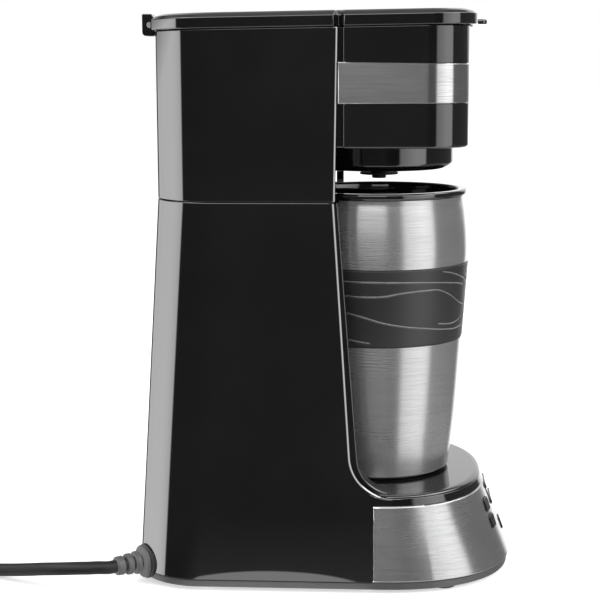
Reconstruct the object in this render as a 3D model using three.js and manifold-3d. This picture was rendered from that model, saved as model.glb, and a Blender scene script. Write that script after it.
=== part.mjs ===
// Single-cup drip coffee maker with its travel mug.
// Millimetres, +Z up, front towards -Y, resting on z = 0.
import * as THREE from 'three';
import { mergeVertices } from 'three/addons/utils/BufferGeometryUtils.js';
import Module from 'manifold-3d';

const wasm = await Module();
wasm.setup();

// ---------------------------------------------------------------- sizes
// Every y below is measured from the mug's axis, with +y towards the rear.

const GAP = 0.3;                  // between pieces that are fixed together
const RUN = 0.4;                  // between pieces that move on each other

// travel mug; heights along it are above its foot
const MUG_HEIGHT = 137.7;
const RIM_RING = 3;               // height of the black rim
const RIM_RADIUS = 42.7;
const MUG_SWELL = 1.1;            // the mug grows this much from its rim to its widest part
const MUG_WIDEST = RIM_RADIUS + MUG_SWELL;   // radius at the sleeve's upper edge
const LIP = 4.4;
const MUG_SKIN = 1;
const LINER_SKIN = 1.6;
const SLEEVE_LOW = 65.6;
const SLEEVE_HIGH = 102.2;
const SLEEVE_TAPER = 2.8;         // the sleeve's lower edge is this much narrower
const SLEEVE_SEAT = 2;            // how deep the steel steps in under the sleeve

// heights that follow from the mug
const DECK_Z = 48;
const MUG_FOOT = DECK_Z + GAP;
const MUG_TOP = MUG_FOOT + MUG_HEIGHT;
const SEAM_Z = MUG_TOP - 2.4;     // top of the lower casing, just below the mug's rim
const POUR_GAP = 4.7;             // from the mug's rim up to the outlet's tip
const BASKET_DEPTH = 7.8;         // basket's straight side below the head
const BASKET_CONE = 5.6;
const NOZZLE_TIP = 3.4;           // tip below the basket's floor
const FLOOR_DROP = 0.4;           // basket's floor falls this much at its middle
const CONE_LOW = MUG_TOP + POUR_GAP + NOZZLE_TIP + FLOOR_DROP;
const SPIGOT_LOW = CONE_LOW + BASKET_CONE;
const HEAD_BOTTOM = SPIGOT_LOW + BASKET_DEPTH;
const HEAD_HEIGHT = 52.9;
const RIM_Z = HEAD_BOTTOM + HEAD_HEIGHT;   // casing rim at the rear

// lower casing: column and base in one moulding
const HALF_WIDTH = 60;
const PLATE_UNDERSIDE = 2;        // base plate's lower face above the floor
const PLATE_EDGE = 3.5;           // height of the base plate's visible edge
const PLATE_SKIN = 2.5;
const PLATE_INSET = 1;            // base plate's edge inside the casing's side
const BODY_REAR = 115.7;          // rear wall at the foot of the casing
const TANK_REAR = 103.7;          // rear wall at the seam and above it
const REAR_CORNER = 32;
const LOWER_WALL = 3.2;
const BASE_FRONT = 65.3;          // front of the base at its foot
const BASE_SLOPE = 0.378;         // how fast the base's front leans back
const FOOT_KNEE_Z = 7;            // height where the lean starts
const FRONT_ROUNDNESS = 2.3;      // exponent of the base's rounded front

// column edge: a slightly raked line that coves into the base
const WING_TOP = 19.2;            // column edge at the seam
const WING_RAKE = 0.062;          // y lost per mm of height
const COVE_Z = 46.5;
const COVE_RADIUS = 20;
const LINING_PROUD = 3.7;         // inner lining stands this far ahead of the edge
const LINING_COVE = 17;
const LINING_SKIN = 2.5;
const MUG_ROOM = 2.7;             // between the mug's widest part and the column
const RECESS_RADIUS = MUG_WIDEST + MUG_ROOM;
const FRONT_STEPS = 10;            // facets on each half of the rounded front
const ROUND_STEPS = 6;             // facets on a rounded corner
const DECK_EDGE = 1.6;            // rounding of the deck's edge

// brushed trim on the base
const TRIM_REAR = 1.4;
const TRIM_LOW = 6.1;
const TRIM_HIGH = 42.4;
const TRIM_SKIN = 1.2;

// upper casings
const WALL = 2.5;
const LID_RISE = 1.8;             // rim climbs this much from rear to front
const TANK_FRONT = 18.8;
const TANK_FRONT_CORNER = 3;
const HEAD_REAR = 15.3;
const HEAD_NECK = 3.5;            // depth of the groove between the two casings
const HEAD_FRONT = 43.1;
const HEAD_BOW = 1.5;
const HEAD_CORNER = 21;
const BAND_HEIGHT = 18.3;
const BAND_LOW = HEAD_BOTTOM + 20.1;
const BAND_HIGH = BAND_LOW + BAND_HEIGHT;
const BAND_DROP = 1;              // upper edge of the band falls this much forward
const BAND_SKIN = 0.8;
const BAND_PROUD = 0.2;
const BAND_REACH = 2.1;           // band runs past the head's rear corner

// lid
const LID_OVERHANG = 1;
const LID_FRONT_OVERHANG = 3.4;
const LID_REAR_OVERHANG = 2.3;
const LID_HEIGHT = 7.1;
const LID_SIDE = 5.5;
const LID_CHAMFER = 4.2;
const LID_WALL = 2.2;
const TAB_WIDTH = 24;
const TAB_REACH = 4.3;
const TAB_THICK = 2.4;

// lid hinge
const HINGE_Y = TANK_REAR + 3.5;
const HINGE_Z = RIM_Z + 3.2;
const HINGE_BARREL = 3.8;
const HINGE_LUG = 4.2;
const HINGE_SPAN = 52;            // over both lugs
const KNUCKLE_SPAN = 28;          // lid's own knuckle
const PIN_RADIUS = 1.5;

// filter basket and its outlet
const BASKET_SPIGOT = 36;         // part that shows below the head
const BASKET_WALL = 2;
const BASKET_TOP = RIM_Z - 11.8;
const BASKET_MOUTH = 39.9;
const BASKET_SHOULDER = 38.6;
const FILTER_SKIN = 1;
const NOZZLE_DISC = 9.3;
const NOZZLE_RADIUS = 3.4;
const NOZZLE_BORE = 1.8;

// controls
const BUTTON_SIZE = 6.6;
const BUTTON_PROUD = 0.8;
const BUTTON_DEPTH = 5;
const BUTTON_TRAVEL = 0.8;
const BUTTON_COLUMN = 21.5;
const BUTTON_HEIGHTS = [34.3, 24.6];
const START_HEIGHT = 18.6;
const WINDOW_WIDTH = 20;
const WINDOW_TALL = 13;
const WINDOW_HEIGHT = 32.5;
const BOARD_WIDE = 62;
const BOARD_TALL = 30;
const BOARD_THICK = 1.6;
const BOARD_HEIGHT = 27;
const POST_X = 24;
const POST_TOP = BOARD_HEIGHT - 2;
const BOARD_DEPTH = 11;           // board's face behind the trim

// water path
const HOSE_RADIUS = 5;
const HOSE_BORE = 3.4;
const PIPE_RADIUS = 3;
const PIPE_BORE = 2;
const HEATER_HALF = 20;
const HEATER_WIDE = 11;
const HEATER_TALL = 15;
const HEATER_Z = 26;
const HEATER_ENDS = 30;
const HEATER_BEND = -8;
const STUB = 9;
const HOSE_DROP = 24;             // straight part below the casing's seam
const HOSE_SWING = 74;            // heights above the heater where the hose swings back
const HOSE_TURN = 38;
const VALVE_X = 24;
const VALVE_Y = 62;
const CLAMP_SKIN = 1.3;
const CLAMP_OUTER = HOSE_RADIUS + CLAMP_SKIN;
const RISER_RING = RECESS_RADIUS + LINING_SKIN + CLAMP_OUTER + 0.8;
const RISER_BACK = 18;            // from the tank's front wall back to the riser
const RISER_Y = TANK_FRONT + RISER_BACK;
const RISER_X = -Math.sqrt(RISER_RING ** 2 - RISER_Y ** 2);
const ARM_Z = RIM_Z - 6.2;
const RESERVOIR_SKIN = 1.8;
const RESERVOIR_FRONT = RISER_Y + PIPE_RADIUS + 5;

// feet and screws
const FOOT_RADIUS = 6;
const FOOT_PLACES = [[HALF_WIDTH - 15, 59], [HALF_WIDTH - 16, -32]];
const BOSS_RADIUS = 5.2;
const SCREW_X = HALF_WIDTH - LOWER_WALL - BOSS_RADIUS + 0.4;
const SCREW_PLACES = [[SCREW_X, 80], [SCREW_X, 4]];
const BOSS_TOP = 26;

// cord
const CORD_RADIUS = 3.1;
const COIL_TURN = 34;             // radius at the middle of the coil's turns
const COIL_X = -3.6;
const COIL_Y = 242;

// ---------------------------------------------------------------- materials
const BLACK_GLOSS = { color: 0x0b0b0c, roughness: 0.12, metalness: 0 };
const BLACK_MATT = { color: 0x17181a, roughness: 0.55, metalness: 0 };
const CLEAR_SMOKE = { color: 0x2b2d30, roughness: 0.2, metalness: 0 };
const BRUSHED = { color: 0xa9aaab, roughness: 0.34, metalness: 1 };
const RUBBER = { color: 0x3b3c3e, roughness: 0.78, metalness: 0 };
const CORD_BLACK = { color: 0x1b1c1d, roughness: 0.6, metalness: 0 };
const SILICONE = { color: 0xd9d6cd, roughness: 0.6, metalness: 0 };
const ALUMINIUM = { color: 0xb4b7ba, roughness: 0.45, metalness: 1 };
const STEEL = { color: 0x8f9296, roughness: 0.4, metalness: 1 };
const BRASS = { color: 0xb99a4f, roughness: 0.35, metalness: 1 };
const BOARD_GREEN = { color: 0x1f4d33, roughness: 0.5, metalness: 0 };
const GLASS_DARK = { color: 0x2a3138, roughness: 0.08, metalness: 0 };
const MESH_GREY = { color: 0x5a5c5e, roughness: 0.6, metalness: 0 };

const FAR = 300;                  // past everything, for cutting shapes

// ---------------------------------------------------------------- solid tools
function solid(geometry) {
  const bare = geometry.clone();
  for (const name of Object.keys(bare.attributes)) {
    if (name !== 'position') bare.deleteAttribute(name);
  }
  const merged = mergeVertices(bare, 1e-4);
  const index = [];
  const source = merged.index.array;
  for (let i = 0; i < source.length; i += 3) {
    const [a, b, c] = [source[i], source[i + 1], source[i + 2]];
    if (a !== b && b !== c && c !== a) index.push(a, b, c);
  }
  return new wasm.Manifold(new wasm.Mesh({
    numProp: 3,
    vertProperties: new Float32Array(merged.attributes.position.array),
    triVerts: new Uint32Array(index),
  }));
}

function geometryOf(body) {
  const mesh = body.getMesh();
  const geometry = new THREE.BufferGeometry();
  const positions = new Float32Array(mesh.vertProperties);
  geometry.setAttribute('position', new THREE.BufferAttribute(positions, 3));
  geometry.setIndex(new THREE.BufferAttribute(new Uint32Array(mesh.triVerts), 1));
  return geometry;
}

const join = (...bodies) => bodies.reduce((sum, body) => sum.add(body));
const cut = (body, ...tools) => tools.reduce((rest, tool) => rest.subtract(tool), body);

function block(x0, x1, y0, y1, z0, z1) {
  const geometry = new THREE.BoxGeometry(x1 - x0, y1 - y0, z1 - z0);
  geometry.translate((x0 + x1) / 2, (y0 + y1) / 2, (z0 + z1) / 2);
  return solid(geometry);
}

// a closed body through stacked outlines of equal point count; each is [points, height(x, y)]
function loft(sections) {
  const count = sections[0][0].length;
  const positions = [];
  for (const [outline, height] of sections) {
    for (const [x, y] of outline) {
      positions.push(x, y, typeof height === 'function' ? height(x, y) : height);
    }
  }
  const index = [];
  for (let s = 0; s < sections.length - 1; s++) {
    for (let i = 0; i < count; i++) {
      const a = s * count + i;
      const b = s * count + (i + 1) % count;
      index.push(a, b, b + count, a, b + count, a + count);
    }
  }
  const cap = (outline) => THREE.ShapeUtils.triangulateShape(
    outline.map(([x, y]) => new THREE.Vector2(x, y)), []);
  const last = (sections.length - 1) * count;
  for (const [a, b, c] of cap(sections[0][0])) index.push(c, b, a);
  for (const [a, b, c] of cap(sections.at(-1)[0])) index.push(last + a, last + b, last + c);
  const geometry = new THREE.BufferGeometry();
  geometry.setAttribute('position', new THREE.Float32BufferAttribute(positions, 3));
  geometry.setIndex(index);
  return solid(geometry);
}

const prism = (outline, low, high) => loft([[outline, low], [outline, high]]);

// turned body about a vertical axis; profile is a closed list of [radius, height]
function turned(profile, segments = 40, x = 0, y = 0) {
  const points = profile.map(([r, z]) => new THREE.Vector2(r, z));
  const onAxis = points[0].x === 0 && points.at(-1).x === 0;
  if (!onAxis) points.push(points[0].clone());
  const geometry = new THREE.LatheGeometry(points, segments);
  geometry.rotateX(Math.PI / 2);
  geometry.translate(x, y, 0);
  return solid(geometry);
}

function rod(radius, from, to, segments = 20) {
  const [a, b] = [new THREE.Vector3(...from), new THREE.Vector3(...to)];
  const geometry = new THREE.CylinderGeometry(radius, radius, a.distanceTo(b), segments);
  geometry.applyQuaternion(new THREE.Quaternion().setFromUnitVectors(
    new THREE.Vector3(0, 1, 0), b.clone().sub(a).normalize()));
  geometry.translate(...a.add(b).multiplyScalar(0.5).toArray());
  return solid(geometry);
}

function circle(radius, sides) {
  const points = [];
  for (let i = 0; i < sides; i++) {
    const t = (2 * Math.PI * i) / sides;
    points.push(new THREE.Vector2(radius * Math.cos(t), radius * Math.sin(t)));
  }
  return points;
}

// a tube along a route; a bore makes it hollow
function tube(route, radius, { sides = 10, steps = 24, bore = 0 } = {}) {
  const path = new THREE.CatmullRomCurve3(
    route.map((p) => new THREE.Vector3(...p)), false, 'centripetal');
  const shape = new THREE.Shape(circle(radius, sides));
  if (bore) shape.holes.push(new THREE.Path(circle(bore, sides)));
  const options = { steps, extrudePath: path, bevelEnabled: false };
  return solid(new THREE.ExtrudeGeometry(shape, options));
}

function arc(cx, cy, radius, from, to, steps) {
  const points = [];
  for (let i = 0; i <= steps; i++) {
    const t = THREE.MathUtils.degToRad(from + ((to - from) * i) / steps);
    points.push([cx + radius * Math.cos(t), cy + radius * Math.sin(t)]);
  }
  return points;
}

// a half outline on the +x side and its mirror image, as one loop
const mirrored = (half) => [...half, ...half.map(([x, y]) => [-x, y]).reverse()];

// ---------------------------------------------------------------- outlines
const rearAt = (z) => TANK_REAR + (BODY_REAR - TANK_REAR) * Math.max(0, 1 - z / SEAM_Z);
const frontAt = (z) => BASE_FRONT - BASE_SLOPE * Math.max(0, z - FOOT_KNEE_Z);

// point of the base's rounded front at a side position x
function frontY(x, z, inset = 0) {
  const across = Math.min(1, Math.abs(x) / (HALF_WIDTH - inset));
  const along = (1 - across ** FRONT_ROUNDNESS) ** (1 / FRONT_ROUNDNESS);
  return -(frontAt(z) - inset) * along;
}

// lower casing in plan at height z, drawn inside its true side by inset
function lowerOutline(z, inset = 0) {
  const half = HALF_WIDTH - inset;
  const corner = REAR_CORNER - inset;
  const rear = rearAt(z) - inset;
  const right = [];
  const steps = FRONT_STEPS;
  for (let i = 0; i <= steps; i++) {
    const t = (Math.PI / 2) * (i / steps);
    const x = half * Math.sin(t) ** (2 / FRONT_ROUNDNESS);
    const y = -(frontAt(z) - inset) * Math.cos(t) ** (2 / FRONT_ROUNDNESS);
    right.push([x, y]);
  }
  right.push(...arc(half - corner, rear - corner, corner, 0, 90, ROUND_STEPS));
  return [right[0], ...mirrored(right.slice(1))];
}

function lowerLoft(inset, low, high) {
  const heights = [low, FOOT_KNEE_Z, high].filter((z, i, all) => i === 0 || z > all[i - 1]);
  return loft(heights.map((z) => [lowerOutline(z, inset), z]));
}

// tank casing in plan: square rear with round corners, hollowed round the mug
function tankOutline(inset = 0, front = TANK_FRONT + inset) {
  const half = HALF_WIDTH - inset;
  const corner = REAR_CORNER - inset;
  const nose = Math.max(0.6, TANK_FRONT_CORNER - inset);
  const hollow = RECESS_RADIUS + inset;
  const tip = THREE.MathUtils.radToDeg(Math.asin(front / hollow));
  const right = [
    ...arc(0, 0, hollow, 90, tip, 8).slice(1),
    ...arc(half - nose, front + nose, nose, -90, 0, 3),
    ...arc(half - corner, TANK_REAR - inset - corner, corner, 0, 90, ROUND_STEPS),
  ];
  return [[0, hollow], ...mirrored(right)];
}

// head casing in plan: bowed front, groove beside the tank, round back in the recess
function headOutline(inset = 0) {
  const half = HALF_WIDTH - inset;
  const corner = HEAD_CORNER - inset;
  const sideFront = -(HEAD_FRONT - HEAD_BOW - inset);
  const back = RECESS_RADIUS - GAP - inset;
  const neckY = TANK_FRONT - GAP - inset;
  const tip = THREE.MathUtils.radToDeg(Math.asin(neckY / back));
  const shoulder = half - corner;
  const bow = [];
  for (const share of [0, 0.25, 0.5, 0.75]) {
    bow.push([shoulder * share, sideFront - HEAD_BOW * (1 - share ** 2)]);
  }
  const right = [
    ...bow.slice(1),
    ...arc(shoulder, sideFront + corner, corner, -90, 0, ROUND_STEPS),
    [half, HEAD_REAR - inset],
    [half - HEAD_NECK, HEAD_REAR - inset],
    [half - HEAD_NECK, neckY],
    ...arc(0, 0, back, tip, 90, 8).slice(0, -1),
  ];
  const rounded = mirrored(right);
  rounded.splice(right.length, 0, [0, back]);
  return [bow[0], ...rounded];
}

function lidOutline(inset = 0) {
  const half = HALF_WIDTH + LID_OVERHANG - inset;
  const corner = HEAD_CORNER + LID_OVERHANG - inset;
  const rearCorner = REAR_CORNER + LID_OVERHANG - inset;
  const sideFront = -(HEAD_FRONT - HEAD_BOW + LID_FRONT_OVERHANG - inset);
  const rear = TANK_REAR + LID_REAR_OVERHANG - inset;
  const waist = (HEAD_REAR + TANK_FRONT) / 2;
  const shoulder = half - corner;
  const right = [
    [shoulder / 2, sideFront - HEAD_BOW * 0.75],
    ...arc(shoulder, sideFront + corner, corner, -90, 0, ROUND_STEPS),
    [half, waist - 2.6],
    [half - HEAD_NECK + 0.6, waist - 0.9],
    [half - HEAD_NECK + 0.6, waist + 0.9],
    [half, waist + 2.6],
    ...arc(half - rearCorner, rear - rearCorner, rearCorner, 0, 90, ROUND_STEPS),
  ];
  return [[0, sideFront - HEAD_BOW], ...mirrored(right)];
}

// the casing rim climbs evenly from the rear to the front
const rise = (y) => LID_RISE * (TANK_REAR - y) / (TANK_REAR + HEAD_FRONT);
const rim = (offset) => (x, y) => RIM_Z + offset + rise(y);

// side view of the column's edge: the region in front of it, as a cutter across the body
function coveCutter(proud, floorZ, radius, reach = 120) {
  const edgeY = (z) => WING_TOP - proud - WING_RAKE * (SEAM_Z - z);
  const lean = Math.atan(WING_RAKE);
  const tangent = radius * Math.tan((Math.PI / 2 - lean) / 2);
  const cornerY = edgeY(floorZ);
  const centreY = cornerY - tangent;
  const centreZ = floorZ + radius;
  const top = SEAM_Z + 30;
  const curve = arc(centreY, centreZ, radius, -90, -THREE.MathUtils.radToDeg(lean), 8);
  const profile = [[-reach, floorZ], ...curve, [edgeY(top), top], [-reach, top]];
  return acrossBody(profile, HALF_WIDTH + 20);
}

// a profile of [y, z] points carried from -half to +half across the body
function acrossBody(profile, half) {
  const geometry = new THREE.ExtrudeGeometry(
    new THREE.Shape(profile.map(([y, z]) => new THREE.Vector2(y, z))),
    { depth: 2 * half, bevelEnabled: false });
  geometry.applyMatrix4(new THREE.Matrix4().makeBasis(
    new THREE.Vector3(0, 1, 0), new THREE.Vector3(0, 0, 1), new THREE.Vector3(1, 0, 0)));
  geometry.translate(-half, 0, 0);
  return solid(geometry);
}

const upright = (radius, x, y, z0, z1, segments = 20) =>
  rod(radius, [x, y, z0], [x, y, z1], segments);

// ---------------------------------------------------------------- controls on the sloping front
// matrix that places a piece drawn with +z pointing out of the trim at (x, height)
function trimFrame(x, height) {
  const step = 0.5;
  const at = (px, pz) => new THREE.Vector3(px, frontY(px, pz), pz);
  const along = at(x + step, height).sub(at(x - step, height)).normalize();
  const up = at(x, height + step).sub(at(x, height - step)).normalize();
  const out = along.clone().cross(up).normalize();
  const matrix = new THREE.Matrix4().makeBasis(along, out.clone().cross(along), out);
  return matrix.setPosition(at(x, height));
}

function roundedBlock(width, tall, low, high, corner, matrix) {
  const [w, t] = [width / 2 - corner, tall / 2 - corner];
  const outline = [
    ...arc(w, t, corner, 0, 90, 3), ...arc(-w, t, corner, 90, 180, 3),
    ...arc(-w, -t, corner, 180, 270, 3), ...arc(w, -t, corner, 270, 360, 3),
  ];
  const geometry = geometryOf(prism(outline, low, high));
  geometry.applyMatrix4(matrix);
  return solid(geometry);
}

const buttonPlaces = [];
for (const side of [-1, 1]) {
  for (const height of BUTTON_HEIGHTS) buttonPlaces.push([side * BUTTON_COLUMN, height]);
}
buttonPlaces.push([0, START_HEIGHT]);

function controlHoles() {
  const holes = buttonPlaces.map(([x, height]) => roundedBlock(
    BUTTON_SIZE + 2 * GAP, BUTTON_SIZE + 2 * GAP, -9, 4, 1.6, trimFrame(x, height)));
  holes.push(roundedBlock(WINDOW_WIDTH + 2 * GAP, WINDOW_TALL + 2 * GAP, -9, 4, 1.8,
    trimFrame(0, WINDOW_HEIGHT)));
  return join(...holes);
}

// ---------------------------------------------------------------- lower casing
const bothSides = (places) => places.flatMap(([x, y]) => [[-x, y], [x, y]]);
const PLATE_TOP = PLATE_UNDERSIDE + PLATE_EDGE;
const CASE_FOOT = PLATE_TOP + GAP;

// where the cord leaves: on the rounded rear corner of the near side
const CORD_Z = 10.5;
const CORD_ANGLE = THREE.MathUtils.degToRad(125);
const cordOut = new THREE.Vector3(Math.cos(CORD_ANGLE), Math.sin(CORD_ANGLE), 0);
const cordExit = new THREE.Vector3(-(HALF_WIDTH - REAR_CORNER), rearAt(CORD_Z) - REAR_CORNER, CORD_Z)
  .addScaledVector(cordOut, REAR_CORNER);
const alongCord = (distance) => cordExit.clone().addScaledVector(cordOut, distance).toArray();
const RELIEF_STEM = 4;

function lowerCase() {
  const outer = lowerLoft(0, CASE_FOOT, SEAM_Z);
  const inner = lowerLoft(LOWER_WALL, CASE_FOOT - 1, SEAM_Z + 1);
  let shell = cut(outer, inner);
  shell = cut(shell, coveCutter(0, COVE_Z, COVE_RADIUS));
  const trimRoom = block(-FAR, FAR, -FAR, TRIM_REAR + GAP, TRIM_LOW - GAP, TRIM_HIGH + GAP);
  const trimSeat = cut(trimRoom, lowerLoft(TRIM_SKIN + GAP, CASE_FOOT - 2, SEAM_Z));
  shell = cut(shell, trimSeat, controlHoles());
  const outside = lowerLoft(1, CASE_FOOT, BOSS_TOP + 1);
  for (const [x, y] of bothSides(SCREW_PLACES)) {
    const boss = upright(BOSS_RADIUS, x, y, CASE_FOOT, BOSS_TOP).intersect(outside);
    shell = join(shell, boss);
    shell = cut(shell, upright(SCREW_RADIUS + GAP, x, y, CASE_FOOT - 1, BOSS_TOP - 4, 12));
  }
  return cut(shell, rod(RELIEF_STEM + GAP, alongCord(-12), alongCord(6)));
}

// lining of the column's hollow, which runs on as the deck under the mug
function columnLining() {
  const side = LOWER_WALL + GAP;
  const top = SEAM_Z - GAP;
  const front = block(-FAR, FAR, -FAR, FAR, COVE_Z - LINING_SKIN, top);
  const inside = lowerLoft(side, CASE_FOOT, top).intersect(front);
  const proud = cut(inside, coveCutter(LINING_PROUD, DECK_Z, LINING_COVE));
  const hollow = upright(RECESS_RADIUS, 0, 0, DECK_Z, top + 10, 48);
  const edge = loft([
    [lowerOutline(COVE_Z + GAP, 0.2), COVE_Z + GAP],
    [lowerOutline(DECK_Z - 0.6, 0.6), DECK_Z - 0.6],
    [lowerOutline(DECK_Z, DECK_EDGE), DECK_Z],
  ]).intersect(block(-FAR, FAR, -FAR, 0, 0, DECK_Z + 1))
    .intersect(coveCutter(GAP, COVE_Z + GAP, COVE_RADIUS));
  const behind = cut(lowerLoft(-3, CASE_FOOT - 1, top + 1),
    coveCutter(LINING_PROUD - LINING_SKIN, DECK_Z - LINING_SKIN, LINING_COVE + LINING_SKIN),
    upright(RECESS_RADIUS + LINING_SKIN, 0, 0, DECK_Z - LINING_SKIN, top + 10, 48));
  return join(cut(proud, hollow, behind), edge);
}

function baseTrim() {
  const skin = cut(lowerLoft(0, TRIM_LOW - 0.05, SEAM_Z), lowerLoft(TRIM_SKIN, CASE_FOOT - 2, SEAM_Z + 1));
  const strip = skin.intersect(block(-FAR, FAR, -FAR, TRIM_REAR, TRIM_LOW, TRIM_HIGH));
  return cut(strip, controlHoles());
}

const SCREW_RADIUS = 1.5;
const SCREW_HEAD = 3.1;

function basePlate() {
  const z = PLATE_UNDERSIDE;
  let plate = prism(lowerOutline(0, PLATE_INSET), z, PLATE_TOP);
  plate = cut(plate, prism(lowerOutline(0, PLATE_INSET + 5), z + PLATE_SKIN, PLATE_TOP + 1));
  for (const [x, y] of bothSides(SCREW_PLACES)) {
    plate = join(plate, upright(BOSS_RADIUS, x, y, z + 1, PLATE_TOP));
    plate = cut(plate, upright(SCREW_RADIUS + GAP, x, y, 0, 20, 12));
    plate = cut(plate, upright(SCREW_HEAD + GAP, x, y, 0, z + 1.6, 16));
  }
  for (const [x, y] of bothSides(FOOT_PLACES)) {
    plate = cut(plate, upright(FOOT_STEM + GAP, x, y, 0, 20, 16));
  }
  const postY = boardBackY(POST_TOP) + GAP;
  for (const x of [-POST_X, POST_X]) {
    plate = join(plate, block(x - 2, x + 2, postY, postY + 5, z + 1, POST_TOP));
  }
  return plate;
}

const FOOT_STEM = 2.4;
const foot = (x, y) => turned([
  [0, 0], [FOOT_RADIUS - 0.8, 0], [FOOT_RADIUS, 0.8], [FOOT_RADIUS, PLATE_UNDERSIDE - GAP],
  [FOOT_STEM, PLATE_UNDERSIDE - GAP], [FOOT_STEM, PLATE_TOP + 1], [0, PLATE_TOP + 1],
], 16, x, y);

const baseScrew = (x, y) => turned([
  [0, PLATE_UNDERSIDE + 0.2], [SCREW_HEAD, PLATE_UNDERSIDE + 0.2],
  [SCREW_HEAD, PLATE_UNDERSIDE + 1.6 - GAP], [SCREW_RADIUS, PLATE_UNDERSIDE + 1.6 - GAP],
  [SCREW_RADIUS, CASE_FOOT + 10], [0, CASE_FOOT + 11],
], 14, x, y);

// ---------------------------------------------------------------- controls
const button = ([x, height]) => roundedBlock(
  BUTTON_SIZE, BUTTON_SIZE, -BUTTON_DEPTH, BUTTON_PROUD, 1.3, trimFrame(x, height));

const displayWindow = () => roundedBlock(
  WINDOW_WIDTH, WINDOW_TALL, -TRIM_SKIN - 0.4, -0.3, 1.5, trimFrame(0, WINDOW_HEIGHT));

const boardFrame = () => trimFrame(0, BOARD_HEIGHT);
const displayModule = () => roundedBlock(WINDOW_WIDTH + 4, WINDOW_TALL + 2,
  -(BOARD_DEPTH - GAP), -(LOWER_WALL + GAP + 1), 1, trimFrame(0, WINDOW_HEIGHT));

// depth of the board's face below the trim, along the normal at one button
function depthToBoard(matrix) {
  const place = new THREE.Vector3().setFromMatrixPosition(matrix);
  const out = new THREE.Vector3().setFromMatrixColumn(matrix, 2);
  const boardOut = new THREE.Vector3().setFromMatrixColumn(boardFrame(), 2);
  const boardPlace = new THREE.Vector3().setFromMatrixPosition(boardFrame());
  const above = place.sub(boardPlace).dot(boardOut) + BOARD_DEPTH;
  return above / out.dot(boardOut);
}

function controlBoard() {
  const board = roundedBlock(
    BOARD_WIDE, BOARD_TALL, -(BOARD_DEPTH + BOARD_THICK), -BOARD_DEPTH, 2, boardFrame());
  const switches = buttonPlaces.map(([x, height]) => {
    const matrix = trimFrame(x, height);
    const top = -(BUTTON_DEPTH + BUTTON_TRAVEL + GAP);
    return roundedBlock(4, 4, -depthToBoard(matrix) - 0.5, top, 1, matrix);
  });
  return join(board, ...switches);
}
function boardBackY(z) {
  const lean = Math.atan(BASE_SLOPE);
  return frontY(0, z) + (BOARD_DEPTH + BOARD_THICK) / Math.cos(lean);
}

// ---------------------------------------------------------------- upper casings
const RISER_HOLE = PIPE_RADIUS + GAP + 0.3;
const armDirection = new THREE.Vector3(-RISER_X, -RISER_Y, 0).normalize();
const armPoint = (distance) => [
  RISER_X + armDirection.x * distance, RISER_Y + armDirection.y * distance, ARM_Z];
const armHole = () => rod(RISER_HOLE, armPoint(2), armPoint(22), 16);

function tankCase() {
  const foot = SEAM_Z + GAP;
  const floor = foot + WALL;
  let shell = cut(loft([[tankOutline(), foot], [tankOutline(), rim(0)]]),
    prism(tankOutline(WALL), floor, RIM_Z + 20));
  for (const side of [-1, 1]) {
    const [near, far] = [KNUCKLE_SPAN / 2 + RUN, HINGE_SPAN / 2];
    const [x0, x1] = side > 0 ? [near, far] : [-far, -near];
    const lug = rod(HINGE_LUG, [x0, HINGE_Y, HINGE_Z], [x1, HINGE_Y, HINGE_Z], 24);
    const web = block(x0, x1, TANK_REAR - 1, HINGE_Y, HINGE_Z - HINGE_LUG, RIM_Z - 0.4);
    shell = join(shell, lug.add(web));
  }
  shell = cut(shell, rod(PIN_RADIUS + 0.1, [-40, HINGE_Y, HINGE_Z], [40, HINGE_Y, HINGE_Z], 16));
  return cut(shell, armHole(), upright(RISER_HOLE, RISER_X, RISER_Y, foot - 1, floor + 1, 16),
    upright(VALVE_NECK + GAP, VALVE_X, VALVE_Y, foot - 1, floor + 1, 16));
}

const VALVE_NECK = 4;
const RESERVOIR_FLOOR = SEAM_Z + GAP + WALL + GAP;
function reservoir() {
  const [side, front] = [WALL + 0.5, RESERVOIR_FRONT];
  const inner = tankOutline(side + RESERVOIR_SKIN, front + RESERVOIR_SKIN);
  const shell = cut(prism(tankOutline(side, front), RESERVOIR_FLOOR, RIM_Z - 4),
    prism(inner, RESERVOIR_FLOOR + 2, RIM_Z));
  return cut(shell, upright(VALVE_NECK + GAP, VALVE_X, VALVE_Y, RESERVOIR_FLOOR - 1,
    RESERVOIR_FLOOR + 3, 16));
}

function headCase() {
  let shell = cut(loft([[headOutline(), HEAD_BOTTOM], [headOutline(), rim(0)]]),
    prism(headOutline(WALL), HEAD_BOTTOM + WALL, RIM_Z + 20),
    upright(BASKET_SPIGOT + 0.6, 0, 0, HEAD_BOTTOM - 1, HEAD_BOTTOM + WALL + 1, 48));
  const seat = cut(bandRing(-2, BAND_LOW - GAP, GAP), bandRing(BAND_SKIN - BAND_PROUD + GAP, 0, 100));
  shell = cut(shell, seat.intersect(block(-FAR, FAR, -FAR, HEAD_REAR + 5, 0, 2 * FAR)));
  return cut(shell, armHole());
}

const bandTop = (offset) => (x, y) =>
  BAND_HIGH + offset - BAND_DROP * (HEAD_REAR - y) / (HEAD_REAR + HEAD_FRONT);

// head's side and front outline without its round back, for the band
function bandOutline(inset) {
  const half = HALF_WIDTH - inset;
  const corner = HEAD_CORNER - inset;
  const sideFront = -(HEAD_FRONT - HEAD_BOW - inset);
  const shoulder = half - corner;
  const bow = [0.25, 0.5, 0.75].map((s) => [shoulder * s, sideFront - HEAD_BOW * (1 - s ** 2)]);
  const right = [...bow, ...arc(shoulder, sideFront + corner, corner, -90, 0, ROUND_STEPS),
    [half, HEAD_REAR + 30]];
  return [[0, sideFront - HEAD_BOW], ...mirrored(right)];
}

const bandRing = (inset, low, above) => loft([
  [bandOutline(inset), low], [bandOutline(inset), bandTop(above)]]);

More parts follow.
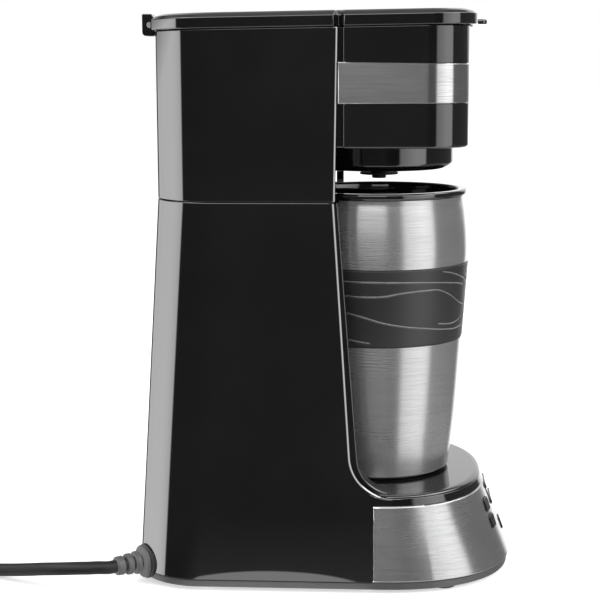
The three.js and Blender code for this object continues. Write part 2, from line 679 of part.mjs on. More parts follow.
function headBand() {
  const ring = cut(bandRing(-BAND_PROUD, BAND_LOW, 0), bandRing(BAND_SKIN - BAND_PROUD, 0, 100));
  return ring.intersect(block(-FAR, FAR, -FAR, HEAD_REAR + BAND_REACH, 0, 2 * FAR));
}

// ---------------------------------------------------------------- lid
function lid() {
  const foot = GAP;
  const stack = (inset, offset) => [lidOutline(inset), rim(foot + offset)];
  let shell = loft([stack(0, 0), stack(0, LID_SIDE), stack(LID_CHAMFER * 0.4, LID_HEIGHT - 0.7),
    stack(LID_CHAMFER, LID_HEIGHT)]);
  shell = cut(shell, loft([stack(LID_WALL, -1), stack(LID_WALL, LID_HEIGHT - LID_WALL - 0.6)]));
  const half = KNUCKLE_SPAN / 2;
  for (const side of [-1, 1]) {
    const [x0, x1] = side > 0 ? [half, HINGE_SPAN / 2 + RUN] : [-HINGE_SPAN / 2 - RUN, -half];
    shell = cut(shell, block(x0, x1, TANK_REAR - 2, HINGE_Y + 20, RIM_Z - 5, RIM_Z + 20));
  }
  const knuckle = rod(HINGE_BARREL, [-half, HINGE_Y, HINGE_Z], [half, HINGE_Y, HINGE_Z], 24);
  const web = block(-half, half, TANK_REAR - 2, HINGE_Y, RIM_Z + GAP + 0.05, HINGE_Z + HINGE_BARREL - 0.4);
  const tabZ = rim(foot)(0, -HEAD_FRONT) + LID_SIDE * 0.4;
  const front = -(HEAD_FRONT + LID_FRONT_OVERHANG);
  const tab = block(-TAB_WIDTH / 2, TAB_WIDTH / 2, front - TAB_REACH, front + 3, tabZ - TAB_THICK / 2,
    tabZ + TAB_THICK / 2);
  const pinHole = rod(PIN_RADIUS + GAP, [-half - 1, HINGE_Y, HINGE_Z], [half + 1, HINGE_Y, HINGE_Z], 16);
  return cut(join(shell, knuckle.add(web), tab), pinHole);
}

const hingePin = () => rod(PIN_RADIUS, [-HINGE_SPAN / 2 + 0.5, HINGE_Y, HINGE_Z],
  [HINGE_SPAN / 2 - 0.5, HINGE_Y, HINGE_Z], 16);

// ---------------------------------------------------------------- basket, filter and outlet
function filterBasket() {
  const w = BASKET_WALL;
  const ledge = HEAD_BOTTOM + WALL + GAP;
  const hole = NOZZLE_NECK + GAP;
  return turned([
    [hole, CONE_LOW - FLOOR_DROP], [9.6, CONE_LOW], [BASKET_SPIGOT - 2, SPIGOT_LOW - 1.2],
    [BASKET_SPIGOT, SPIGOT_LOW + 0.8], [BASKET_SPIGOT, ledge], [BASKET_SHOULDER, ledge],
    [BASKET_MOUTH, BASKET_TOP], [BASKET_MOUTH - w, BASKET_TOP], [BASKET_SHOULDER - w, ledge + w],
    [BASKET_SPIGOT - w, ledge + w - 0.4], [BASKET_SPIGOT - w, SPIGOT_LOW + w], [12, CONE_LOW + w],
    [hole, CONE_LOW + w - FLOOR_DROP],
  ], 36);
}

function permanentFilter() {
  const w = FILTER_SKIN;
  const [wide, narrow] = [BASKET_MOUTH - BASKET_WALL - GAP, BASKET_SPIGOT - BASKET_WALL - 3];
  const low = SPIGOT_LOW + BASKET_WALL + 6;
  return turned([
    [0, low], [narrow, low], [wide - 1.6, BASKET_TOP - 4], [wide - 0.6, BASKET_TOP - 0.5],
    [wide - 0.6 - w, BASKET_TOP - 0.5], [wide - 1.6 - w, BASKET_TOP - 4.4], [narrow - w, low + w],
    [0, low + w],
  ], 32);
}

// nozzle that clips through the basket's floor, with a collar that keeps drips off the basket
const NOZZLE_NECK = 3.8;
function outletNozzle() {
  const under = CONE_LOW - FLOOR_DROP;
  const over = under + BASKET_WALL;
  const disc = under - GAP - 0.3;
  return turned([
    [NOZZLE_BORE, under - NOZZLE_TIP], [NOZZLE_RADIUS, under - NOZZLE_TIP],
    [NOZZLE_RADIUS, disc - 1.1], [NOZZLE_DISC, disc - 0.9], [NOZZLE_DISC, disc],
    [NOZZLE_NECK, disc], [NOZZLE_NECK, over + GAP], [5.5, over + GAP], [5.5, over + 1.5],
    [NOZZLE_BORE, over + 1.5],
  ], 20);
}

// ---------------------------------------------------------------- water path
const heaterStub = (side) => [
  [side * HEATER_HALF, HEATER_ENDS - 1, HEATER_Z], [side * HEATER_HALF, HEATER_ENDS + STUB, HEATER_Z]];

function heater() {
  const [w, t] = [HEATER_WIDE / 2, HEATER_TALL / 2];
  const leg = (side) => {
    const x = side * HEATER_HALF;
    return block(x - w, x + w, HEATER_BEND, HEATER_ENDS, HEATER_Z - t, HEATER_Z + t);
  };
  const bend = turned([
    [HEATER_HALF - w, HEATER_Z - t], [HEATER_HALF + w, HEATER_Z - t],
    [HEATER_HALF + w, HEATER_Z + t], [HEATER_HALF - w, HEATER_Z + t]], 36, 0, HEATER_BEND)
    .intersect(block(-FAR, FAR, -FAR, HEATER_BEND + 0.5, 0, FAR));
  const stubs = [-1, 1].map((side) => rod(PIPE_RADIUS, ...heaterStub(side), 14));
  return join(leg(-1), leg(1), bend, ...stubs);
}

const BRACKET_TOP = HEATER_Z - HEATER_TALL / 2 - GAP;
function heaterBracket() {
  const floor = PLATE_UNDERSIDE + PLATE_SKIN + GAP;
  const half = HEATER_HALF + HEATER_WIDE / 2 + 3.5;
  const [front, back, skin] = [HEATER_BEND - HEATER_HALF - 4, HEATER_ENDS - 4, 1.2];
  const plate = block(-half, half, front, back, BRACKET_TOP - skin, BRACKET_TOP);
  const leg = (x) => block(x, x + skin, front, back, floor, BRACKET_TOP);
  return join(plate, leg(-half), leg(half - skin));
}

const thermostat = () => turned([
  [0, BRACKET_TOP + GAP], [8, BRACKET_TOP + GAP], [8, BRACKET_TOP + 4], [5, BRACKET_TOP + 4],
  [5, BRACKET_TOP + 9], [0, BRACKET_TOP + 9]], 24, 0, 10);

const thermalFuse = () => rod(2, [-8, -8, BRACKET_TOP + GAP + 2], [8, -8, BRACKET_TOP + GAP + 2], 12);

const HOSE_TOP = SEAM_Z - 10;
// both hoses end straight over the heater's stubs
const overStub = (side) => [HEATER_ENDS + 15, HEATER_ENDS + 8, HEATER_ENDS + 1].map(
  (y) => [side * HEATER_HALF, y, HEATER_Z]);

// a hose drops straight from (x, y), swings back behind the heater and bends into its stub
function hose(x, y, side) {
  const between = THREE.MathUtils.lerp;
  const farY = HEATER_ENDS + 30;
  const stubX = side * HEATER_HALF;
  return tube([
    [x, y, HOSE_TOP], [x, y, HOSE_TOP - HOSE_DROP],
    [between(x, stubX, 0.1), between(y, farY, 0.2), HEATER_Z + HOSE_SWING],
    [between(x, stubX, 0.5), between(y, farY, 0.8), HEATER_Z + HOSE_TURN],
    [between(x, stubX, 0.85), farY, HEATER_Z + 16], [stubX, farY - 6, HEATER_Z + 3],
    ...overStub(side),
  ], HOSE_RADIUS, { bore: HOSE_BORE, sides: 8, steps: 16 });
}

const sprayArm = () => tube([
  [RISER_X, RISER_Y, HOSE_TOP - 10], [RISER_X, RISER_Y, HEAD_BOTTOM], [RISER_X, RISER_Y, ARM_Z - 8],
  [RISER_X + 1.5, RISER_Y - 1, ARM_Z - 2.5], armPoint(7), armPoint(24),
], PIPE_RADIUS, { bore: PIPE_BORE, sides: 8, steps: 20 });

const checkValve = () => turned([
  [0, HOSE_TOP - 9], [PIPE_RADIUS, HOSE_TOP - 9], [PIPE_RADIUS, HOSE_TOP + GAP],
  [5.8, HOSE_TOP + GAP], [5.8, SEAM_Z], [VALVE_NECK, SEAM_Z],
  [VALVE_NECK, RESERVOIR_FLOOR + 2 + GAP], [7, RESERVOIR_FLOOR + 2 + GAP],
  [7, RESERVOIR_FLOOR + 4], [0, RESERVOIR_FLOOR + 4]], 20, VALVE_X, VALVE_Y);

const CLAMP_WIDE = 5;
function hoseClamp([x, y, z], alongY) {
  const half = CLAMP_WIDE / 2;
  const ends = alongY ? [[x, y - half, z], [x, y + half, z]] : [[x, y, z - half], [x, y, z + half]];
  const grown = ends.map((p, i) => p.map((v, k) => v + (k === (alongY ? 1 : 2) ? (i ? 1 : -1) : 0)));
  return cut(rod(CLAMP_OUTER, ...ends, 18), rod(HOSE_RADIUS + GAP, ...grown, 18));
}

const clampPlaces = [
  [[VALVE_X, VALVE_Y, HOSE_TOP - 5], false], [[HEATER_HALF, HEATER_ENDS + 5, HEATER_Z], true],
  [[RISER_X, RISER_Y, HOSE_TOP - 5], false], [[-HEATER_HALF, HEATER_ENDS + 5, HEATER_Z], true],
];

const LEAD_X = -(HALF_WIDTH - 20);         // mains lead runs along the base plate, inside the feet
const mainsLead = () => tube([
  alongCord(-11.6), alongCord(-15), [LEAD_X + 0.5, BODY_REAR - 31.7, 8.5], [LEAD_X, 55, 7.2],
  [LEAD_X, 25, 7.2], [LEAD_X, -5, 7.2], [LEAD_X + 4, -24, 9], [LEAD_X + 10, -38, 14],
  [LEAD_X + 11, boardBackY(18) + 0.8, 17],
], 2.1, { sides: 8, steps: 20 });

// ---------------------------------------------------------------- travel mug
const onMug = (profile) => profile.map(([r, z]) => [r, z + MUG_FOOT]);
const STEEL_TOP = MUG_HEIGHT - RIM_RING - GAP;
const NECK = RIM_RADIUS - 1.5;            // steel just under the rim
const SLEEVE_LOW_R = MUG_WIDEST - SLEEVE_TAPER;
const MUG_BASE = MUG_WIDEST - 8.9;
const FLARE_LOW = 24.2;                   // heights where the steel's flare changes
const FLARE_HIGH = 44.5;
// steel between the base and the sleeve swells out a little
const lowerSteel = [
  [MUG_BASE, 2.2], [MUG_BASE + 2.6, FLARE_LOW], [MUG_BASE + 4.3, FLARE_HIGH],
  [SLEEVE_LOW_R - 0.3, SLEEVE_LOW - GAP],
];
const upperSteel = [
  [MUG_WIDEST - 0.6, SLEEVE_HIGH + GAP], [MUG_WIDEST - 0.6, STEEL_TOP - 25.4],
  [NECK + 0.5, STEEL_TOP - 6.4], [NECK, STEEL_TOP],
];

function mugShell() {
  const s = MUG_SKIN;
  const seatLow = SLEEVE_LOW_R - SLEEVE_SEAT;
  const seatHigh = MUG_WIDEST - SLEEVE_SEAT;
  return turned(onMug([
    [0, 0.9], [MUG_BASE - 1.5, 0.9], ...lowerSteel,
    [seatLow, SLEEVE_LOW - GAP], [seatHigh, SLEEVE_HIGH + GAP], ...upperSteel,
    [NECK - s, STEEL_TOP], [NECK + 0.5 - s, STEEL_TOP - 6.4], [seatHigh - s, SLEEVE_HIGH - 2],
    [seatLow - s, SLEEVE_LOW], [MUG_BASE + 2.6 - s, FLARE_LOW], [MUG_BASE - s, 3.2],
    [MUG_BASE - 2.5, 2], [0, 2],
  ]), 40);
}

function mugLiner() {
  const s = LINER_SKIN;
  const lip = RIM_RADIUS - LIP;
  const throat = NECK - MUG_SKIN - 0.9;
  const belly = MUG_WIDEST - SLEEVE_SEAT - MUG_SKIN - 2.9;
  const waist = belly - 1.4;
  const floor = MUG_BASE - MUG_SKIN - 0.7;
  return turned(onMug([
    [0, 5], [floor - 1.7, 5], [floor, 7], [waist, SLEEVE_LOW - 21.1], [belly, SLEEVE_HIGH - 6],
    [throat, STEEL_TOP - 16.4], [throat, MUG_HEIGHT - RIM_RING], [RIM_RADIUS, MUG_HEIGHT - RIM_RING],
    [RIM_RADIUS, MUG_HEIGHT - 1], [RIM_RADIUS - 1, MUG_HEIGHT], [lip + 1, MUG_HEIGHT],
    [lip, MUG_HEIGHT - 1], [throat - s, STEEL_TOP - 6], [belly - s, SLEEVE_HIGH - 6],
    [waist - s, SLEEVE_LOW - 21.1], [floor - s, 8], [floor - s - 0.6, 6.6], [0, 6.6],
  ]), 36);
}

const mugSleeve = () => turned(onMug([
  [SLEEVE_LOW_R - SLEEVE_SEAT + GAP, SLEEVE_LOW], [SLEEVE_LOW_R - 0.6, SLEEVE_LOW],
  [SLEEVE_LOW_R, SLEEVE_LOW + 0.6], [MUG_WIDEST, SLEEVE_HIGH - 0.6],
  [MUG_WIDEST - 0.6, SLEEVE_HIGH], [MUG_WIDEST - SLEEVE_SEAT + GAP, SLEEVE_HIGH],
]), 40);

const PAD_RADIUS = MUG_BASE - 1.9;
const mugPad = () => turned(onMug([
  [0, 0], [PAD_RADIUS - 0.6, 0], [PAD_RADIUS, 0.3], [PAD_RADIUS, 0.6], [0, 0.6]]), 32);

// ---------------------------------------------------------------- cord
// moulded relief: a stem inside the casing, a flange on it and a ribbed neck outside
const RELIEF_TIP = 16.7;
function strainRelief() {
  const lathe = new THREE.LatheGeometry([
    [0, -11], [RELIEF_STEM - 0.8, -11], [RELIEF_STEM, -10], [RELIEF_STEM, 0.9], [7.6, 0.9],
    [7.6, 2.4], [5, 3], [5, 6.6], [3.9, 6.8], [3.9, 8], [4.6, 8.2], [4.6, 11], [3.8, 11.2],
    [3.8, 12.6], [4.5, 12.8], [4.4, RELIEF_TIP], [0, RELIEF_TIP],
  ].map(([r, d]) => new THREE.Vector2(r, d)), 16);
  lathe.applyQuaternion(new THREE.Quaternion().setFromUnitVectors(new THREE.Vector3(0, 1, 0), cordOut));
  lathe.translate(...cordExit.toArray());
  return solid(lathe);
}

// route of the cord from the strain relief to the coil's outer turn
const CORD_LIE = CORD_RADIUS + 0.1;
const OUTER_TURN = COIL_TURN + CORD_RADIUS;
const ARRIVE_X = COIL_X - OUTER_TURN;
const ARRIVE_Y = COIL_Y - 12;
const cordRoute = [
  alongCord(RELIEF_TIP + GAP), alongCord(RELIEF_TIP + 4), [-59.8, 131, 10.9],
  [-60.7, 135.7, 10.9], [-60.7, 141.4, 10.7], [-59.8, 147.3, 10.1], [-58, 153, 9.3],
  [-55.6, 158.9, 8.3], [-53, 164.9, 7.1], [-50.2, 171, 5.9], [-47.4, 177.2, 4.8],
  [-45, 183.2, 3.9], [-43.1, 189, 3.4], [-41.7, 195, CORD_LIE], [-41, 201, CORD_LIE],
  [ARRIVE_X, 208, CORD_LIE], [ARRIVE_X, 215, CORD_LIE], [ARRIVE_X, 222, CORD_LIE],
  [ARRIVE_X, ARRIVE_Y, CORD_LIE],
];
const cord = () => tube(cordRoute, CORD_RADIUS, { sides: 10, steps: 30 });

// round coil of spare cord, two turns across and two high
const COIL_LOW = 0.1;
const COIL_HALF = 2 * CORD_RADIUS;
const COIL_HIGH = COIL_LOW + 4 * CORD_RADIUS;
const TOP_TURN = CORD_LIE + 2 * CORD_RADIUS;
const LEAVE_Y = COIL_Y + OUTER_TURN;
function cordCoil() {
  const [inner, outer] = [COIL_TURN - COIL_HALF, COIL_TURN + COIL_HALF];
  const ring = turned([
    [inner + 2, COIL_LOW], [outer - 2, COIL_LOW], [outer, COIL_LOW + 2], [outer, COIL_HIGH - 2],
    [outer - 2, COIL_HIGH], [inner + 2, COIL_HIGH], [inner, COIL_HIGH - 2], [inner, COIL_LOW + 2],
  ], 36, COIL_X, COIL_Y);
  const room = CORD_RADIUS + GAP;
  const arriving = rod(room, [ARRIVE_X, ARRIVE_Y - 30, CORD_LIE], [ARRIVE_X, ARRIVE_Y + GAP, CORD_LIE], 12);
  const leaving = rod(room, [TAIL_START - GAP, LEAVE_Y, TOP_TURN], [TAIL_END, LEAVE_Y, TOP_TURN], 12);
  return cut(ring, arriving, leaving);
}

function cordTie() {
  const half = COIL_HALF + GAP;
  const [low, high, skin, wide] = [COIL_LOW, COIL_HIGH + GAP, 0.6, 3];
  const x = COIL_X + COIL_TURN;
  const band = block(x - half - skin, x + half + skin, COIL_Y - wide, COIL_Y + wide, low, high + skin);
  const room = block(x - half, x + half, COIL_Y - wide - 1, COIL_Y + wide + 1, low - 1, high);
  return cut(band, room);
}

// the cord's free end leaves the coil's upper turn and enters the plug
const TAIL_START = COIL_X + 12;
const TAIL_END = COIL_X + 27;
const cordTail = () => rod(CORD_RADIUS, [TAIL_START, LEAVE_Y, TOP_TURN], [TAIL_END, LEAVE_Y, TOP_TURN], 10);

// two-pin plug lying beside the coil
const PLUG_NECK = 16;
const PLUG_BODY = 24;
const PLUG_WIDE = 22;
const PLUG_TALL = 18;
function plug() {
  const neck = turned([[0, 0], [4.2, 0], [6.4, PLUG_NECK + 1], [0, PLUG_NECK + 1]], 16);
  const body = roundedBlock(PLUG_WIDE, PLUG_TALL, PLUG_NECK, PLUG_NECK + PLUG_BODY, 4, new THREE.Matrix4());
  return alongTail(join(neck, body));
}

// flat blades of a two-pin plug
const BLADE_APART = 12.7;
const BLADE_WIDE = 6.4;
const BLADE_THICK = 1.5;
const BLADE_LONG = 17;
function plugBlade(side) {
  const x = (side * BLADE_APART) / 2;
  const [t, w, face] = [BLADE_THICK / 2, BLADE_WIDE / 2, PLUG_NECK + PLUG_BODY];
  return alongTail(block(x - t, x + t, -w, w, face + GAP, face + BLADE_LONG));
}

function alongTail(body) {
  const geometry = geometryOf(body);
  geometry.applyMatrix4(new THREE.Matrix4().makeBasis(
    new THREE.Vector3(0, 1, 0), new THREE.Vector3(0, 0, 1), new THREE.Vector3(1, 0, 0)));
  geometry.translate(TAIL_END + GAP, LEAVE_Y, TOP_TURN);
  return solid(geometry);
}

// ---------------------------------------------------------------- assembly
const group = new THREE.Group();
const machine = new THREE.Group();
machine.position.y = (BASE_FRONT - rearAt(CASE_FOOT)) / 2;   // casing's foot centred on the origin
group.add(machine);

function add(name, body, finish) {
  const mesh = new THREE.Mesh(geometryOf(body), new THREE.MeshStandardMaterial(finish));
  mesh.name = name;
  machine.add(mesh);
}

add('lower_case', lowerCase(), BLACK_GLOSS);
add('column_lining', columnLining(), BLACK_GLOSS);
add('base_plate', basePlate(), BLACK_MATT);
add('base_trim', baseTrim(), BRUSHED);
bothSides(FOOT_PLACES).forEach(([x, y], i) => add(`foot_${i + 1}`, foot(x, y), RUBBER));
bothSides(SCREW_PLACES).forEach(([x, y], i) => add(`base_screw_${i + 1}`, baseScrew(x, y), STEEL));

const BUTTON_NAMES = ['hour_button', 'minute_button', 'program_button', 'auto_button', 'start_button'];
buttonPlaces.forEach((place, i) => add(BUTTON_NAMES[i], button(place), BLACK_MATT));
add('display_window', displayWindow(), GLASS_DARK);
add('display_module', displayModule(), BLACK_MATT);
add('control_board', controlBoard(), BOARD_GREEN);

add('tank_case', tankCase(), BLACK_GLOSS);
add('reservoir', reservoir(), CLEAR_SMOKE);
add('head_case', headCase(), BLACK_GLOSS);
add('head_band', headBand(), BRUSHED);
add('lid', lid(), BLACK_GLOSS);
add('hinge_pin', hingePin(), STEEL);

add('filter_basket', filterBasket(), BLACK_MATT);
add('permanent_filter', permanentFilter(), MESH_GREY);
add('outlet_nozzle', outletNozzle(), BLACK_MATT);

add('heater', heater(), ALUMINIUM);
add('heater_bracket', heaterBracket(), STEEL);
add('thermostat', thermostat(), STEEL);
add('thermal_fuse', thermalFuse(), SILICONE);
add('cold_hose', hose(VALVE_X, VALVE_Y, 1), SILICONE);
add('hot_hose', hose(RISER_X, RISER_Y, -1), SILICONE);
add('spray_arm', sprayArm(), BLACK_MATT);
add('check_valve', checkValve(), SILICONE);
clampPlaces.forEach(([place, alongY], i) => add(`hose_clamp_${i + 1}`, hoseClamp(place, alongY), STEEL));
add('mains_lead', mainsLead(), CORD_BLACK);

add('mug_shell', mugShell(), BRUSHED);
add('mug_liner', mugLiner(), BLACK_GLOSS);
add('mug_sleeve', mugSleeve(), RUBBER);
add('mug_pad', mugPad(), RUBBER);

add('strain_relief', strainRelief(), CORD_BLACK);
add('cord', cord(), CORD_BLACK);
add('cord_coil', cordCoil(), CORD_BLACK);
add('cord_tie', cordTie(), CORD_BLACK);
add('cord_tail', cordTail(), CORD_BLACK);
add('plug', plug(), CORD_BLACK);
add('plug_blade_1', plugBlade(-1), BRASS);
add('plug_blade_2', plugBlade(1), BRASS);

export default group;
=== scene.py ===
# Single-cup drip coffee maker with its travel mug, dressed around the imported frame.
import math

import bmesh
import bpy
from mathutils import Matrix, Vector


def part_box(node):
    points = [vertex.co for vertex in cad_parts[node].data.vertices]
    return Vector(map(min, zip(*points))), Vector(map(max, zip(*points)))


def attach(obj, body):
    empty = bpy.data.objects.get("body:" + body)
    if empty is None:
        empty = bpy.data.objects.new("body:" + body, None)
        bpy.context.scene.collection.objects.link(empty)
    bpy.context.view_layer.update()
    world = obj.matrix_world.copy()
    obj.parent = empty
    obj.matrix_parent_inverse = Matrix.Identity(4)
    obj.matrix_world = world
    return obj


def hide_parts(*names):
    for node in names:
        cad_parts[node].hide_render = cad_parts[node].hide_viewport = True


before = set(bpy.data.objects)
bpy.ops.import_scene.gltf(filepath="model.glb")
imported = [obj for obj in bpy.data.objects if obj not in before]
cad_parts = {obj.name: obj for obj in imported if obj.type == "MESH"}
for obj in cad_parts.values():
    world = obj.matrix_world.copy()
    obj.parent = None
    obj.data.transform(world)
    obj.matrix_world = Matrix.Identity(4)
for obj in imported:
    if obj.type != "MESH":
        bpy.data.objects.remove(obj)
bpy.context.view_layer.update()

# ---------------------------------------------------------------- sizes
# Lengths are in millimetres and y is measured from the mug's axis, with +y towards the rear.
MM = 0.001
GAP = 0.3


def box_centre(node):
    low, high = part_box(node)
    return (low + high) / 2


AXIS_Y = box_centre("mug_pad").y


def edges(node):
    """Lowest and highest corner of a CAD node, in millimetres from the mug's axis."""
    low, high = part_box(node)
    axis = Vector((0, AXIS_Y, 0))
    return tuple(tuple(round(v / MM, 3) for v in corner - axis) for corner in (low, high))


def row(x, y, z):
    """A point of the row frame, in metres."""
    return Vector((x * MM, y * MM + AXIS_Y, z * MM))


CASE_LOW, CASE_HIGH = edges("lower_case")
HALF_WIDTH = CASE_HIGH[0]
CASE_FOOT = CASE_LOW[2]
SEAM_Z = CASE_HIGH[2]
BASE_FRONT = 65.3
BASE_SLOPE = 0.378
FOOT_KNEE_Z = 7
FRONT_ROUNDNESS = 2.3  # power of the front's outline: 2 is an ellipse
BODY_REAR = 115.7
TANK_REAR = 103.7
REAR_CORNER = 32
LOWER_WALL = 3.2

PLATE_UNDERSIDE = edges("base_plate")[0][2]
PLATE_TOP = CASE_FOOT - GAP
PLATE_INSET = 1

WING_TOP = 19.2
WING_RAKE = 0.062
COVE_Z = 46.5
COVE_RADIUS = 20
LINING_PROUD = 1.4
LINING_SPREAD = 0.014
LINING_COVE = 17
RECESS_RADIUS = 46.5
DECK_Z = 48
TRIM_REAR = 1.4
TRIM_LOW, TRIM_HIGH = edges("base_trim")[0][2], edges("base_trim")[1][2]
TRIM_SKIN = 1.2

HEAD_BOTTOM = edges("head_case")[0][2]
RIM_Z = HEAD_BOTTOM + 52.9
LID_RISE = 1.8
WALL = 2.5
TANK_FRONT = 18.8
TANK_NOSE = 2.2
TANK_LEAN = 1.3
HEAD_REAR = 15.3
HEAD_NECK = 3.5
HEAD_FRONT = 43.1
HEAD_BOW = 1.5
HEAD_CORNER = 21
BAND_LOW = edges("head_band")[0][2]
BAND_HIGH = BAND_LOW + 18.3
BAND_DROP = 1
BAND_SKIN = 0.8
BAND_PROUD = 0.2
BAND_REACH = 2.1

LID_OVERHANG = 1
LID_FRONT_OVERHANG = 3.4
LID_REAR_OVERHANG = 2.3
LID_HEIGHT = 7.1
LID_SIDE = 4.9
LID_CHAMFER = 4.2
LID_WALL = 2.2
LID_WAIST = 2.9
HINGE_Y = TANK_REAR + 3.5
HINGE_Z = RIM_Z + 3.2
HINGE_BARREL = 3.8
HINGE_LUG = 4.2
HINGE_SPAN = 52
KNUCKLE_SPAN = 28

MUG_FOOT = edges("mug_pad")[0][2]
MUG_HEIGHT = edges("mug_liner")[1][2] - MUG_FOOT
CORD_RADIUS = 3.1


# ---------------------------------------------------------------- camera
def camera():
    place = Vector((-0.7427, -0.0362, 0.2447))
    forward = Vector((0.98613, 0.06645, -0.15208)).normalized()
    roll = math.radians(-0.254)
    level = forward.cross(Vector((0, 0, 1))).normalized()
    upward = level.cross(forward)
    right = level * math.cos(roll) + upward * math.sin(roll)
    up = upward * math.cos(roll) - level * math.sin(roll)
    data = bpy.data.cameras.new("camera")
    data.sensor_width = 36
    data.lens = 91.26
    data.clip_start = 0.05
    data.clip_end = 60
    eye = bpy.data.objects.new("camera", data)
    eye.matrix_world = Matrix.Translation(place) @ Matrix(
        (right, up, -forward)).transposed().to_4x4()
    bpy.context.scene.collection.objects.link(eye)
    bpy.context.scene.camera = eye


camera()
bpy.context.scene.view_settings.view_transform = "Standard"


# ---------------------------------------------------------------- solids
def polar(cx, cy, radius, start, end, steps):
    """Points on an arc, from one angle to another in degrees."""
    angles = [math.radians(start + (end - start) * i / steps) for i in range(steps + 1)]
    return [(cx + radius * math.cos(a), cy + radius * math.sin(a)) for a in angles]


def flat_ring(outline, z):
    return [(x, y, z) for x, y in outline]


def bend(radius, steps):
    """Quarter round as (inset, rise) pairs: from a full inset and no rise to no inset and a full rise."""
    turns = [math.pi / 2 * s / steps for s in range(steps + 1)]
    return [(radius * (1 - math.sin(a)), radius * (1 - math.cos(a))) for a in turns]


def mirrored(half):
    """A half outline on the +x side and its mirror image, as one loop."""
    return half + [(-x, y) for x, y in reversed(half)]


def skin(rings, wrap=False):
    """A solid through stacked rings of equal point count.

    wrap joins the last ring to the first; otherwise both ends are closed by a flat face.
    """
    count = len(rings[0])
    verts = [point for ring in rings for point in ring]
    faces = []
    for r in range(len(rings) if wrap else len(rings) - 1):
        for i in range(count):
            a, b = r * count + i, r * count + (i + 1) % count
            c, d = (b + count) % len(verts), (a + count) % len(verts)
            faces.append((a, b, c, d))
    if not wrap:
        faces.append(tuple(reversed(range(count))))
        faces.append(tuple(range(len(verts) - count, len(verts))))
    return verts, faces


def grid_plate(columns, heights, point, edge, thick):
    """A closed plate that follows point(column, height, depth), with a chamfered border."""
    last_c, last_h = len(columns) - 1, len(heights) - 1
    verts, faces = [], []

    def layer(depth_at):
        first = len(verts)
        for h, height in enumerate(heights):
            for c, column in enumerate(columns):
                verts.append(point(column, height, depth_at(c, h)))
        return first

    def on_border(c, h):
        return c in (0, last_c) or h in (0, last_h)

    front = layer(lambda c, h: edge if on_border(c, h) else 0)
    back = layer(lambda c, h: thick)
    wide = last_c + 1
    for h in range(last_h):
        for c in range(last_c):
            a = h * wide + c
            quad = (a, a + 1, a + 1 + wide, a + wide)
            faces.append(tuple(front + i for i in quad))
            faces.append(tuple(back + i for i in reversed(quad)))
    around = list(range(wide))
    around += [h * wide + last_c for h in range(1, last_h + 1)]
    around += [last_h * wide + c for c in range(last_c - 1, -1, -1)]
    around += [h * wide for h in range(last_h - 1, 0, -1)]
    for a, b in zip(around, around[1:] + around[:1]):
        faces.append((front + b, front + a, back + a, back + b))
    return verts, faces


def rounded(corners, steps=5, closed=True):
    """Points of a polyline whose corners, given as (a, b, radius), are rounded."""
    points = []
    count = len(corners)
    for i, (a, b, radius) in enumerate(corners):
        here = Vector((a, b))
        if not radius or (not closed and i in (0, count - 1)):
            points.append((a, b))
            continue
        before = Vector(corners[i - 1][:2]) - here
        after = Vector(corners[(i + 1) % count][:2]) - here
        half = before.angle(after) / 2
        if half > math.radians(89):
            points.append((a, b))
            continue
        reach = min(radius / math.tan(half), before.length * 0.49, after.length * 0.49)
        radius = reach * math.tan(half)
        into = (before.normalized() + after.normalized()).normalized()
        centre = here + into * (radius / math.sin(half))
        start = here + before.normalized() * reach - centre
        end = here + after.normalized() * reach - centre
        sweep = start.angle_signed(end, 0)
        for s in range(steps + 1):
            turn = Matrix.Rotation(-sweep * s / steps, 2)
            points.append(tuple(centre + turn @ start))
    return points


def through(points, steps=6):
    """Points on a smooth curve through the given ones."""
    ends = [points[0]] + list(points) + [points[-1]]
    out = []
    for i in range(1, len(ends) - 2):
        p0, p1, p2, p3 = (Vector(p) for p in ends[i - 1:i + 3])
        for s in range(steps):
            t = s / steps
            out.append(tuple(0.5 * ((2 * p1) + (p2 - p0) * t + (2 * p0 - 5 * p1 + 4 * p2 - p3) * t ** 2
                                    + (3 * p1 - p0 - 3 * p2 + p3) * t ** 3)))
    out.append(tuple(points[-1]))
    return out


def lathe(profile, segments=96, x=0.0, y=0.0):
    """A body turned about an upright axis; profile is a closed list of (radius, height)."""
    turns = [2 * math.pi * i / segments for i in range(segments)]
    return skin([[(x + radius * math.cos(a), y + radius * math.sin(a), z) for a in turns]
                 for radius, z in profile], wrap=True)


def moved(part, matrix):
    """The same solid carried by a matrix whose lengths are millimetres."""
    verts, faces = part
    return [tuple(matrix @ Vector(v)) for v in verts], faces


def rod(radius, start, end, edge=0.4, segments=40, bore=0.0):
    """A round bar or tube between two points, with softened ends."""
    a, b = Vector(start), Vector(end)
    length = (b - a).length
    corners = [(bore, 0, 0), (radius, 0, edge), (radius, length, edge), (bore, length, 0)]
    turn = Vector((0, 0, 1)).rotation_difference(b - a).to_matrix().to_4x4()
    return moved(lathe(rounded(corners, 4), segments), Matrix.Translation(a) @ turn)


def cushion(outline_at, low, high, edge, steps=4):
    """A block with rounded rims; outline_at(inset) gives its outline as (x, y) points."""
    lower = [(inset, low + rise) for inset, rise in bend(edge, steps)]
    upper = [(rise, high - inset) for inset, rise in bend(edge, steps)]
    return skin([flat_ring(outline_at(inset), z) for inset, z in lower + upper])


def soft_rectangle(width, tall, corner, steps=6):
    """Outline of a rectangle with round corners, as a function of its inset."""
    def outline(inset=0.0):
        r = max(corner - inset, 0.05)
        w, t = width / 2 - inset - r, tall / 2 - inset - r
        return (polar(w, t, r, 0, 90, steps) + polar(-w, t, r, 90, 180, steps)
                + polar(-w, -t, r, 180, 270, steps) + polar(w, -t, r, 270, 360, steps))
    return outline


